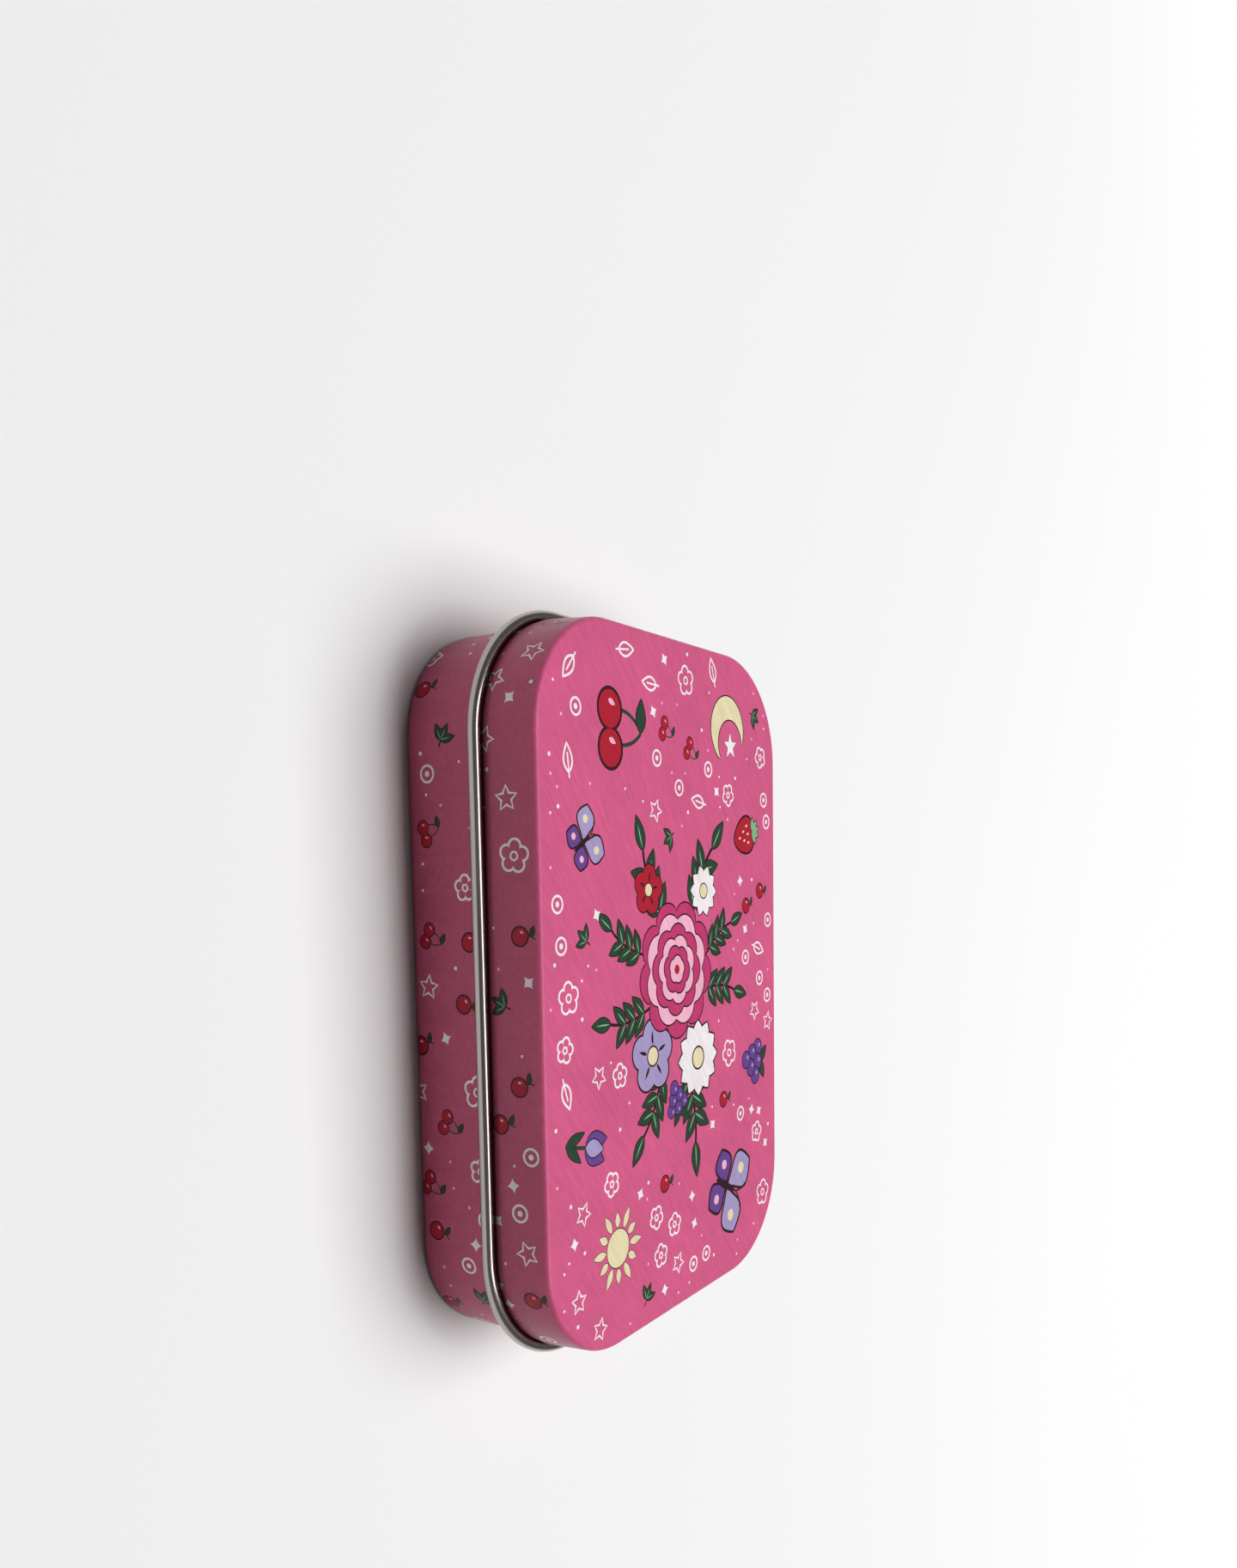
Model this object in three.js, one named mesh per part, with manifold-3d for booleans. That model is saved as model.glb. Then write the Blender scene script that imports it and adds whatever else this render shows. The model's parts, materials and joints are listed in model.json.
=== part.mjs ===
// Hinged pocket tin of printed tinplate, closed and lying on its base.
// Millimetres. +Z is up, X runs along the length, the opening side is at -Y
// and the two hinges are at +Y. The origin is under the middle of the base.
import * as THREE from 'three';
import { mergeVertices, toCreasedNormals } from 'three/addons/utils/BufferGeometryUtils.js';
import Module from 'manifold-3d';

const wasm = await Module();
wasm.setup();

// Driving dimensions of the tin
const LID_LENGTH = 92.4; // along X, over the lid's skirt without the bead
const LID_WIDTH = 61.4; // along Y, over the lid's skirt without the bead
const TIN_HEIGHT = 20.2; // closed, from the table to the top of the lid
const CORNER_RADIUS = 15.3; // of the skirt, seen from above
const SHEET = 0.25; // thickness of the tinplate

// Lid
const LID_EDGE_RADIUS = 0.6; // between the top and the skirt, on the outside
const SKIRT_LEAN = 0.45; // how far the skirt leans in on its way up to the top
const BEAD_HEIGHT = 12.0; // from the table to the middle of the bead
const BEAD_ROLL = 0.7; // radius of the bead's hem, at mid sheet
const BEAD_END = 115; // where the hem's cut edge stops, in degrees
const NECK_DEPTH = 0.12; // how far the grip neck stands in from the skirt
const NECK_TOP = 2.0; // from the bead's middle up to the ridge over the neck
const NECK_SLOPE = 0.6; // height of the slope between ridge and neck

// Base
const BASE_CLEARANCE = 0.27; // between the lid's neck and the base's wall
const BOTTOM_RADIUS = 1.0; // between the bottom and the wall, on the outside
const RIM_OVERLAP = 3.6; // from the bead's middle up to the top of the rim
const RIM_ROLL = 0.5; // radius of the rim's roll, at mid sheet

// Hinges
const HINGE_PLACE = 0.65; // share of the straight back, from its middle
const HINGE_DROP = 1.7; // from the bead's middle down to the hinge line
const WIRE_DIAMETER = 0.72;
const WIRE_CLEARANCE = 0.115; // between the wire and a knuckle, all round
const LID_KNUCKLE = 5.4; // length along X
const BASE_KNUCKLE = 3.4; // length along X, one at each side
const KNUCKLE_GAP = 0.35; // between neighbouring knuckles
const WINDOW_CLEARANCE = 0.35; // between a knuckle and the cut around it
const NOTCH_CLEARANCE = 0.5; // between the knuckles and the bead's cut ends
const TONGUE_ROOT = 0.3; // how far a tongue runs on into its own sheet

// Facets
const CORNER_STEPS = 10;
const EDGE_STEPS = 5;
const ROLL_STEP = 24; // degrees
const CREASE = THREE.MathUtils.degToRad(35); // sharper edges are shaded as edges

// Sizes that follow. Offsets count outwards from the face of the skirt.
const neckLine = -NECK_DEPTH - SHEET / 2;
const beadCentre = neckLine + BEAD_ROLL;
const wallLine = neckLine - SHEET - BASE_CLEARANCE;
const rimHeight = BEAD_HEIGHT + RIM_OVERLAP;
const knuckleRoll = WIRE_DIAMETER / 2 + WIRE_CLEARANCE + SHEET / 2;
const knuckleOuter = knuckleRoll + SHEET / 2;
const hingeOffset = neckLine - knuckleRoll;
const hingeHeight = BEAD_HEIGHT - HINGE_DROP;
const hingeLength = LID_KNUCKLE + 2 * (BASE_KNUCKLE + KNUCKLE_GAP);
const hingeX = HINGE_PLACE * (LID_LENGTH / 2 - CORNER_RADIUS);
const back = LID_WIDTH / 2;

// Points along an arc, angles in degrees, both ends included
function arc(centreO, centreZ, radius, from, to, steps) {
  const points = [];
  for (let i = 0; i <= steps; i += 1) {
    const angle = THREE.MathUtils.degToRad(from + ((to - from) * i) / steps);
    points.push(new THREE.Vector2(centreO + radius * Math.cos(angle), centreZ + radius * Math.sin(angle)));
  }
  return points;
}

function roll(centreO, centreZ, radius, from, to) {
  return arc(centreO, centreZ, radius, from, to, Math.ceil(Math.abs(to - from) / ROLL_STEP));
}

// Closed section of bent sheet: the line moved half a sheet to its left,
// then the line moved half a sheet to its right and taken backwards
function sheetSection(line) {
  const left = [];
  const right = [];
  line.forEach((point, i) => {
    const before = line[Math.max(i - 1, 0)];
    const after = line[Math.min(i + 1, line.length - 1)];
    const into = point.clone().sub(before);
    const away = after.clone().sub(point);
    if (i === 0) into.copy(away);
    if (i === line.length - 1) away.copy(into);
    into.normalize();
    away.normalize();
    const along = into.clone().add(away).normalize();
    const reach = SHEET / 2 / along.dot(into);
    const side = new THREE.Vector2(-along.y, along.x).multiplyScalar(reach);
    left.push(point.clone().add(side));
    right.push(point.clone().sub(side));
  });
  return left.concat(right.reverse());
}

// Rounded rectangle around the tin at one offset and height, anticlockwise
function outline(offset, height) {
  const points = [];
  const radius = CORNER_RADIUS + offset;
  const cornerX = LID_LENGTH / 2 - CORNER_RADIUS;
  const cornerY = LID_WIDTH / 2 - CORNER_RADIUS;
  const corners = [[1, 1, 0], [-1, 1, 90], [-1, -1, 180], [1, -1, 270]];
  for (const [signX, signY, from] of corners) {
    for (const p of arc(signX * cornerX, signY * cornerY, radius, from, from + 90, CORNER_STEPS)) {
      points.push(new THREE.Vector3(p.x, p.y, height));
    }
  }
  return points;
}

// Pressed shell: a section carried around the tin, its two inner ends
// closed by the flat faces of the panel
function shell(section) {
  const loops = section.map((p) => outline(p.x, p.y));
  const count = loops[0].length;
  const positions = [];
  const triangle = (a, b, c) => positions.push(...a.toArray(), ...b.toArray(), ...c.toArray());
  for (let i = 0; i + 1 < loops.length; i += 1) {
    for (let j = 0; j < count; j += 1) {
      const k = (j + 1) % count;
      triangle(loops[i][j], loops[i + 1][j], loops[i + 1][k]);
      triangle(loops[i][j], loops[i + 1][k], loops[i][k]);
    }
  }
  const first = loops[0];
  const last = loops[loops.length - 1];
  const firstMiddle = new THREE.Vector3(0, 0, first[0].z);
  const lastMiddle = new THREE.Vector3(0, 0, last[0].z);
  for (let j = 0; j < count; j += 1) {
    const k = (j + 1) % count;
    triangle(firstMiddle, first[j], first[k]);
    triangle(lastMiddle, last[k], last[j]);
  }
  const geometry = new THREE.BufferGeometry();
  geometry.setAttribute('position', new THREE.Float32BufferAttribute(positions, 3));
  return geometry;
}

// Strip of bent sheet at the back of the tin, centred on one place along X
function strip(line, width, x) {
  const shape = new THREE.Shape(sheetSection(line));
  const geometry = new THREE.ExtrudeGeometry(shape, { depth: width, bevelEnabled: false });
  const turn = new THREE.Matrix4().makeBasis(
    new THREE.Vector3(0, 1, 0),
    new THREE.Vector3(0, 0, 1),
    new THREE.Vector3(1, 0, 0),
  );
  geometry.applyMatrix4(turn);
  geometry.translate(x - width / 2, back, 0);
  return geometry;
}

// Box at the back of the tin between two offsets and two heights
function cut(x, width, fromO, toO, fromZ, toZ) {
  const geometry = new THREE.BoxGeometry(width, toO - fromO, toZ - fromZ);
  geometry.translate(x, back + (fromO + toO) / 2, (fromZ + toZ) / 2);
  return geometry;
}

function toManifold(geometry) {
  const plain = geometry.clone();
  plain.deleteAttribute('normal');
  plain.deleteAttribute('uv');
  const merged = mergeVertices(plain, 1e-5);
  const mesh = new wasm.Mesh({
    numProp: 3,
    vertProperties: Float32Array.from(merged.attributes.position.array),
    triVerts: Uint32Array.from(merged.index.array),
  });
  mesh.merge();
  return new wasm.Manifold(mesh);
}

function toGeometry(manifold) {
  const mesh = manifold.getMesh();
  const geometry = new THREE.BufferGeometry();
  geometry.setAttribute('position', new THREE.Float32BufferAttribute(Array.from(mesh.vertProperties), 3));
  geometry.setIndex(Array.from(mesh.triVerts));
  return toCreasedNormals(geometry, CREASE);
}

const point = (offset, height) => new THREE.Vector2(offset, height);

// The lid's sheet, from the edge of its flat top to the cut edge of the hem
function lidSheet() {
  const radius = LID_EDGE_RADIUS - SHEET / 2;
  const skirtLine = -SHEET / 2;
  const ridge = BEAD_HEIGHT + NECK_TOP;
  const edgeCentre = -SKIRT_LEAN - LID_EDGE_RADIUS;
  const flatEdge = point(edgeCentre - LID_EDGE_RADIUS, TIN_HEIGHT - SHEET / 2);
  const edge = arc(edgeCentre, TIN_HEIGHT - LID_EDGE_RADIUS, radius, 90, 0, EDGE_STEPS);
  const neck = [point(skirtLine, ridge), point(neckLine, ridge - NECK_SLOPE)];
  const hem = roll(beadCentre, BEAD_HEIGHT, BEAD_ROLL, 180, 360 + BEAD_END);
  return [flatEdge, ...edge, ...neck, ...hem];
}

// The base's sheet, from the edge of its flat bottom to the cut edge of the rim
function baseSheet() {
  const radius = BOTTOM_RADIUS - SHEET / 2;
  const flatEdge = point(wallLine - 2 * radius, SHEET / 2);
  const edge = arc(wallLine - radius, BOTTOM_RADIUS, radius, -90, 0, EDGE_STEPS);
  const rim = roll(wallLine - RIM_ROLL, rimHeight - RIM_ROLL - SHEET / 2, RIM_ROLL, 0, 270);
  return [flatEdge, ...edge, ...rim];
}

// Bead's gap over a hinge: all of the hem goes, the neck above it stays
const notchTop = BEAD_HEIGHT + BEAD_ROLL + SHEET;

// The lid's tongue comes straight down from the neck, passes outside the
// wire and is rolled in under it
function lidTongue() {
  const start = point(neckLine, notchTop + TONGUE_ROOT);
  return [start, ...roll(hingeOffset, hingeHeight, knuckleRoll, 0, -270)];
}

// The base's tongue leaves the wall below its window, leans out to the line
// of the lid's tongue and is rolled in over the wire
const windowReach = knuckleOuter + WINDOW_CLEARANCE;
const tongueFoot = hingeHeight - windowReach - 2 * knuckleRoll;
function baseTongue() {
  const root = point(wallLine, tongueFoot - TONGUE_ROOT);
  const foot = point(wallLine, tongueFoot);
  const lean = point(neckLine, hingeHeight - knuckleOuter);
  return [root, foot, lean, ...roll(hingeOffset, hingeHeight, knuckleRoll, 0, 270)];
}

let lidBody = toManifold(shell(sheetSection(lidSheet())));
let baseBody = toManifold(shell(sheetSection(baseSheet())));
for (const side of [-1, 1]) {
  const x = side * hingeX;
  const notch = cut(
    x,
    hingeLength + 2 * NOTCH_CLEARANCE,
    neckLine - SHEET,
    beadCentre + BEAD_ROLL + SHEET,
    BEAD_HEIGHT - BEAD_ROLL - SHEET,
    notchTop,
  );
  lidBody = lidBody.subtract(toManifold(notch)).add(toManifold(strip(lidTongue(), LID_KNUCKLE, x)));

  const wallIn = wallLine - SHEET;
  const wallOut = wallLine + SHEET;
  const windowLow = hingeHeight - windowReach;
  const windowHigh = hingeHeight + windowReach;
  const window = cut(x, hingeLength + 2 * WINDOW_CLEARANCE, wallIn, wallOut, windowLow, windowHigh);
  baseBody = baseBody.subtract(toManifold(window));
  for (const end of [-1, 1]) {
    const tongueX = x + (end * (hingeLength - BASE_KNUCKLE)) / 2;
    const slot = cut(tongueX, BASE_KNUCKLE + 2 * KNUCKLE_GAP, wallIn, wallOut, tongueFoot, windowLow + SHEET);
    baseBody = baseBody.subtract(toManifold(slot));
    baseBody = baseBody.add(toManifold(strip(baseTongue(), BASE_KNUCKLE, tongueX)));
  }
}

function wire(side) {
  const geometry = new THREE.CylinderGeometry(WIRE_DIAMETER / 2, WIRE_DIAMETER / 2, hingeLength, 16);
  geometry.rotateZ(Math.PI / 2);
  geometry.translate(side * hingeX, back + hingeOffset, hingeHeight);
  return geometry;
}

function node(name, geometry, color, roughness, metalness) {
  const material = new THREE.MeshStandardMaterial({ color, roughness, metalness });
  const mesh = new THREE.Mesh(geometry, material);
  mesh.name = name;
  return mesh;
}

const tin = new THREE.Group();
tin.name = 'hinged_pocket_tin';
tin.add(node('base_tray', toGeometry(baseBody), 0xd9608f, 0.35, 0.1));
tin.add(node('lid', toGeometry(lidBody), 0xd9608f, 0.35, 0.1));
tin.add(node('hinge_pin_left', wire(-1), 0xb4b4b8, 0.3, 1));
tin.add(node('hinge_pin_right', wire(1), 0xb4b4b8, 0.3, 1));

export default tin;
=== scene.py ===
"""Hinged pocket tin of printed tinplate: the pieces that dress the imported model.

Solid shapes are in metres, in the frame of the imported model. Print is drawn flat in millimetres and then
laid on the sheet.
"""
import json
import math

import bpy
import numpy as np
from bpy.props import FloatProperty, FloatVectorProperty, PointerProperty
from mathutils import Matrix, Vector
from mathutils.geometry import delaunay_2d_cdt


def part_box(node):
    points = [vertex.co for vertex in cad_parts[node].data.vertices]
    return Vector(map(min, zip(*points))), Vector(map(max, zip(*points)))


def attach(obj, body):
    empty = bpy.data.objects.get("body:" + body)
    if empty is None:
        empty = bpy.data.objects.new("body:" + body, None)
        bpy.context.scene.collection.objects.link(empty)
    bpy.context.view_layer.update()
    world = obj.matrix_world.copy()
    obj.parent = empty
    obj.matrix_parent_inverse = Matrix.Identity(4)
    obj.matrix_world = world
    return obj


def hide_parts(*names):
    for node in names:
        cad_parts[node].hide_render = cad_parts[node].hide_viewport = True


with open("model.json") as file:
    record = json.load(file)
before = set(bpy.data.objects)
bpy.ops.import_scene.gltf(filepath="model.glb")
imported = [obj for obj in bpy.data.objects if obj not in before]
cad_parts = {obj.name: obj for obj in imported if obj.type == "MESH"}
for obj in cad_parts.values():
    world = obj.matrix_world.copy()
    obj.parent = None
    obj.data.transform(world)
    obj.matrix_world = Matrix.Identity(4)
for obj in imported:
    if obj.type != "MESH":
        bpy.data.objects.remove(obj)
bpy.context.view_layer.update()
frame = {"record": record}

bl_info = {
    "name": "Hinged pocket tin",
    "version": (1, 0, 0),
    "blender": (4, 5, 0),
    "location": "3D View > Sidebar > Tin",
    "description": "Makes a printed tinplate pocket tin with a rolled bead and two wire hinges",
    "category": "Object",
}

MM = 0.001
LID_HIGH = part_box("lid")[1]
PIN_LOW, PIN_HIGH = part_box("hinge_pin_right")
HINGE = frame["record"]["behaviour"]["joints"][0]["pos_m"]

# Painted shade: heights in millimetres, and the share of the ink's colour that is left there
# Painted shade on the lid: darkest in the crease over the bead, and the skirt a little darker than the panel
LID_PAINTED_SHADE = [(12.4, 0.1), (12.8, 0.3), (13.3, 0.6), (13.9, 0.8), (14.15, 0.88), (19.3, 0.88), (19.8, 1)]
# Painted shade on the base: a dark band round the bottom edge, at the foot of the wall
BASE_PAINTED_SHADE = [(0, 1), (0.03, 0.35), (0.3, 0.5), (0.8, 0.8), (2.2, 1)]

# The texture map of the print: its name, the gap between its islands in millimetres, the number of
# lengths that a wall is cut into, and the scales of the tin's bottom and of the film's hidden back
BAKE_MAP = "OFBake"
MAP_GAP = 1.0
WALL_LENGTHS = 3
BOTTOM_SCALE = 0.35
BACK_SCALE = 0.06

# Depth of the sheet's face under its print, in thicknesses of the film
COVER = 1.5

# Steps of the grids, and the degrees of one step round a roll
CORNER_STEPS = 24
LONG_STEPS = 20
SIDE_STEPS = 10
EDGE_STEPS = 10
WIRE_STEPS = 32
BLUNT_STEPS = 6
ROLL_STEP = 9

# Degrees that the lid's bead, the base's rim and the knuckles are rolled through
BEAD_TURN = 295
RIM_TURN = 270
KNUCKLE_TURN = 270

# Two columns or two points of the print that are closer than this are one, in metres. The last is for points
# of the print while it is flat, in millimetres.
SAME_COLUMN = 1e-7
SAME_POINT = 0.4e-6
SAME_PRINT = 1e-5

# Edges that turn by more than this stay sharp
CREASE = math.radians(38)

# Long side of the photograph in pixels, the camera's sensor in millimetres, and the distances that it sees
IMAGE_HEIGHT = 1825
SENSOR = 36
SIGHT = (0.005, 50)

# The floor's half side, and its drop below the tin
FLOOR_REACH = 3.0
FLOOR_DROP = 0.1 * MM

# Ranges of Map Range nodes: where most of a noise lies, the distance over which the floor is seen to turn
# white, and the rise of a direction over which mirrored light goes from the white horizon to the dim room
SWING = {"From Min": 0.3, "From Max": 0.7}
FLOOR_FADE = {"From Min": 0.2, "From Max": 0.8}
HORIZON = {"From Min": 0.02, "From Max": 0.34}

# Clear distance from scattered motifs to the panel's edge and to the seam of the sides, in millimetres, and
# the share of its room that a motif on a side keeps above the side's foot
EDGE_CLEAR = 0.4
SEAM_CLEAR = 1
FOOT_SHARE = 0.55


def linear(code):
    """Linear red, green and blue of an sRGB hex code."""
    value = np.array([int(code[place:place + 2], 16) for place in (1, 3, 5)]) / 255
    curve = np.where(value <= 0.04045, value / 12.92, ((value + 0.055) / 1.055) ** 2.4)
    return tuple(curve.tolist())


def length(name, description, default):
    """A length property, whose default is in metres."""
    return FloatProperty(name=name, description=description, default=default, unit="LENGTH", precision=5)


def colour(name, description, code):
    """A colour property, whose default is an sRGB hex code."""
    return FloatVectorProperty(name=name, description=description, default=linear(code), subtype="COLOR",
                               min=0, max=1)


# Sizes, inks and stage that a user would change

class TinSizes(bpy.types.PropertyGroup):
    """Sizes of the pressed sheets and of the hinges."""
    long: length("Lid length", "Length over the lid's skirt", 92.4 * MM)
    wide: length("Lid width", "Width over the lid's skirt", 61.4 * MM)
    height: length("Height", "Height of the closed tin", LID_HIGH.z)
    corner: length("Corner radius", "Radius of the skirt's corners, seen from above", 15.3 * MM)
    sheet: length("Sheet", "Thickness of the tinplate with its print", 0.25 * MM)
    film: length("Print film", "Thickness of the ink and varnish", 0.02 * MM)
    lid_edge: length("Lid edge radius", "Outer radius where the lid's panel turns into the skirt", 0.6 * MM)
    skirt_lean: length("Skirt lean", "How far the skirt leans in on its way up to the panel", 0.45 * MM)
    bead_height: length("Bead height", "Height of the middle of the lid's bead", 12.0 * MM)
    bead_roll: length("Bead roll", "Radius of the bead at the middle of the sheet", 0.7 * MM)
    neck_depth: length("Neck depth", "How far the skirt steps in above the bead", 0.12 * MM)
    neck_top: length("Neck top", "Height of the ridge over the middle of the bead", 2.0 * MM)
    neck_slope: length("Neck slope", "Height over which the skirt steps in", 0.6 * MM)
    clearance: length("Base clearance", "Gap between the lid's neck and the base's wall", 0.27 * MM)
    bottom_edge: length("Bottom radius", "Outer radius where the wall turns into the bottom", 1.0 * MM)
    rim_overlap: length("Rim overlap", "Height of the rim's top over the middle of the bead", 3.6 * MM)
    rim_roll: length("Rim roll", "Radius of the rolled rim at the middle of the sheet", 0.5 * MM)
    hinge_x: length("Hinge place", "Distance from the middle to each hinge", (PIN_LOW.x + PIN_HIGH.x) / 2)
    wire: length("Hinge wire", "Diameter of the hinge wire", PIN_HIGH.z - PIN_LOW.z)
    wire_long: length("Wire length", "Length of each hinge wire", PIN_HIGH.x - PIN_LOW.x)
    wire_gap: length("Wire clearance", "Gap between the wire and its knuckles", 0.115 * MM)
    wire_blunt: length("Wire blunting", "Radius of the wire's cut ends", 0.12 * MM)
    lid_knuckle: length("Lid knuckle", "Width of the middle knuckle on the lid", 5.4 * MM)
    base_knuckle: length("Base knuckle", "Width of the outer knuckles on the base", 3.4 * MM)
    knuckle_gap: length("Knuckle gap", "Gap between two knuckles", 0.35 * MM)
    window_gap: length("Window clearance", "Gap round the knuckles in the base's windows", 0.35 * MM)
    notch_gap: length("Notch clearance", "Gap beside the knuckles in the lid's notches", 0.5 * MM)
    notch_top: length("Notch top", "Height of the lid's notches over the middle of the bead", 0.95 * MM)
    tongue_slit: length("Tongue slit", "How far the base's tongues are slit below their windows", 1.2 * MM)
    tongue_rise: length("Tongue rise", "Height of the base's tongues before they lean out", 0.3 * MM)
    print_dip: length("Print dip", "How far the lid's print goes below the middle of the bead", 0.4 * MM)


class TinColours(bpy.types.PropertyGroup):
    """Inks of the print, and the metals."""
    ground: colour("Ground", "Pink that covers the lid and the bottom", "#D35A87")
    # Painted shade: the ground turns to this darker pink on upright faces, so that the sides look shaded
    side: colour("Side ground", "Deeper pink of the drawn sides", "#C45878")
    keyline: colour("Key line", "Dark outline of the motifs", "#2A050E")
    white: colour("White", "White of petals and stars", "#F3ECEE")
    blush: colour("Blush", "Pale pink of inner petals", "#F3B4CA")
    rose: colour("Rose", "Deep pink of outer petals", "#C2356F")
    crimson: colour("Crimson", "Red of fruit", "#B0122E")
    leaf: colour("Leaf", "Dark green of leaves", "#1F402A")
    mint: colour("Mint", "Pale green of leaf ribs and calyxes", "#86B088")
    lilac: colour("Lilac", "Pale violet of petals and wings", "#A597C4")
    violet: colour("Violet", "Deep violet of berries", "#66408F")
    cream: colour("Cream", "Warm white of flower hearts and moons", "#E6DAB0")
    tinplate: colour("Tinplate", "Bare tin", "#D9D8D6")
    # Painted shade: a darker copy of the tinplate, which dims the bead's reflections
    bead: colour("Bead", "Bare tin that the curling rolls have greyed", "#AEA6A2")
    steel: colour("Steel", "Drawn wire", "#B4B3B2")


class TinStage(bpy.types.PropertyGroup):
    """Camera, light and floor."""
    place: FloatVectorProperty(name="Camera place", description="Where the camera stands",
                               subtype="TRANSLATION", default=(-15.63 * MM, -132.5 * MM, 99.65 * MM))
    yaw: FloatProperty(name="Yaw", description="Turn of the view from +Y towards +X", subtype="ANGLE",
                       default=0.11)
    pitch: FloatProperty(name="Pitch", description="How far the view looks down", subtype="ANGLE",
                         default=0.574)
    roll: FloatProperty(name="Roll", description="Tilt of the view beyond the quarter turn", subtype="ANGLE",
                        default=0.044)
    focal: FloatProperty(name="Focal length", description="Focal length in pixels of the photograph",
                         default=1322.2)
    axis_x: FloatProperty(name="Axis right", description="Optical axis right of the middle, in pixels",
                          default=20.0)
    axis_y: FloatProperty(name="Axis down", description="Optical axis below the middle, in pixels",
                          default=217.9)
    softbox: length("Softbox", "Side of the square lamp, and its height over the floor", 1.6)
    power: FloatProperty(name="Lamp power", description="Power of the softbox", default=35, unit="POWER")
    lamp_front: length("Lamp front", "How far the softbox reaches before the middle of the tin", 0.25)
    lamp_right: length("Lamp right", "How far the softbox stands right of the middle of the tin", 0.15)
    ambient: FloatProperty(name="Ambient", description="Strength of the room's own light", default=0.08)
    mirrored: FloatProperty(name="Mirrored room", description="Strength of the room overhead in reflections",
                            default=0.14)
    floor: colour("Floor", "Pale floor, as it is seen", "#F4F4F4")
    bounce: colour("Floor bounce", "Floor as it lights the tin's sides, as a table does", "#EEEEEE")


# Outline and sections of the pressed sheets

def outline_knots(size):
    """Arc length, inner corner and normal's angle wherever the outline changes from straight to round.

    The outline starts at the middle of the back and runs anticlockwise. It is an inner rectangle, pushed out
    along a normal that turns a quarter at each corner of the rectangle and nowhere else.
    """
    half_long = size.long / 2 - size.corner
    half_wide = size.wide / 2 - size.corner
    quarter = size.corner * math.pi / 2
    side = [quarter, 2 * half_wide, quarter]
    steps = [0, half_long, *side, 2 * half_long, *side, half_long]
    inner_x = half_long * np.array([0, -1, -1, -1, -1, 1, 1, 1, 1, 0])
    inner_y = half_wide * np.array([1, 1, 1, -1, -1, -1, -1, 1, 1, 1])
    angle = np.radians([90, 90, 180, 180, 270, 270, 360, 360, 450, 450])
    return np.cumsum(steps), inner_x, inner_y, angle


def around(size, along, offset):
    """Points at an arc length and an offset from the skirt's face, and the outward normals there."""
    knots, inner_x, inner_y, angles = outline_knots(size)
    angle = np.interp(along, knots, angles)
    normal = np.stack([np.cos(angle), np.sin(angle)], -1)
    inner = np.stack([np.interp(along, knots, inner_x), np.interp(along, knots, inner_y)], -1)
    return inner + (size.corner + np.asarray(offset))[..., None] * normal, normal


def columns(size, cuts):
    """Arc lengths of the columns: even steps on the straights and corners, and one at each side of a cut.

    The cuts are used on both long sides, so that the rows of a panel run straight across.
    """
    knots = outline_knots(size)[0]
    half_long = knots[1]
    across = np.append(np.linspace(-half_long, half_long, LONG_STEPS + 1), [cut[:2] for cut in cuts])
    back = np.where(across <= 0, -across, knots[-1] - across)
    front = knots[4] + half_long + across
    turns = [np.linspace(knots[at], knots[at + 1], CORNER_STEPS + 1) for at in (1, 3, 5, 7)]
    sides = [np.linspace(knots[at], knots[at + 1], SIDE_STEPS + 1) for at in (2, 6)]
    every = np.sort(np.concatenate([back, front, *turns, *sides]))
    every = every[np.append(True, np.diff(every) > SAME_COLUMN)]
    return every[every < knots[-1] - SAME_COLUMN]


def unit(vectors):
    """Vectors divided by their lengths."""
    return vectors / np.linalg.norm(vectors, axis=1, keepdims=True)


def lengths(line):
    """Length along a line at each of its points."""
    return np.append(0, np.cumsum(np.linalg.norm(np.diff(line, axis=0), axis=1)))


def arc(centre, radius, start, stop, steps):
    """Points on a circle, from one angle in degrees to another."""
    angle = np.radians(np.linspace(start, stop, steps + 1))
    return np.stack([centre[0] + radius * np.cos(angle), centre[1] + radius * np.sin(angle)], 1)


def mitres(line):
    """Left-hand mitre of a line at each of its points.

    It is the sum of the two edges' unit normals over one plus their cosine, so that a step along it keeps the
    same distance from both edges.
    """
    edge = unit(np.diff(line, axis=0))
    normal = np.stack([-edge[:, 1], edge[:, 0]], 1)
    before = np.vstack([normal[:1], normal])
    after = np.vstack([normal, normal[-1:]])
    return (before + after) / (1 + np.sum(before * after, axis=1))[:, None]


def lid_line(size):
    """Middle of the lid's sheet as pairs of offset and height: panel, edge, skirt, neck and outward curl."""
    half = size.sheet / 2
    bend = size.lid_edge - half
    neck = -size.neck_depth - half
    middle = (neck + size.bead_roll, size.bead_height)
    ridge = size.bead_height + size.neck_top
    inset = -size.skirt_lean - size.lid_edge
    edge = arc((inset, size.height - size.lid_edge), bend, 90, 0, EDGE_STEPS)
    step = np.array([[-half, ridge], [neck, ridge - size.neck_slope]])
    curl = arc(middle, size.bead_roll, 180, 180 + BEAD_TURN, BEAD_TURN // ROLL_STEP)
    return np.vstack([[[inset - size.lid_edge, size.height - half]], edge, step, curl])


def split_at(line, level):
    """The line with one more point, where it first falls to a level."""
    after = int(np.argmax(line[:, 1] < level))
    share = (line[after - 1, 1] - level) / (line[after - 1, 1] - line[after, 1])
    return np.insert(line, after, line[after - 1] + share * (line[after] - line[after - 1]), axis=0)


def wall_offset(size):
    """Offset of the middle of the base's wall, behind the lid's neck and the gap."""
    return -size.neck_depth - size.sheet - size.clearance - size.sheet / 2


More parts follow.
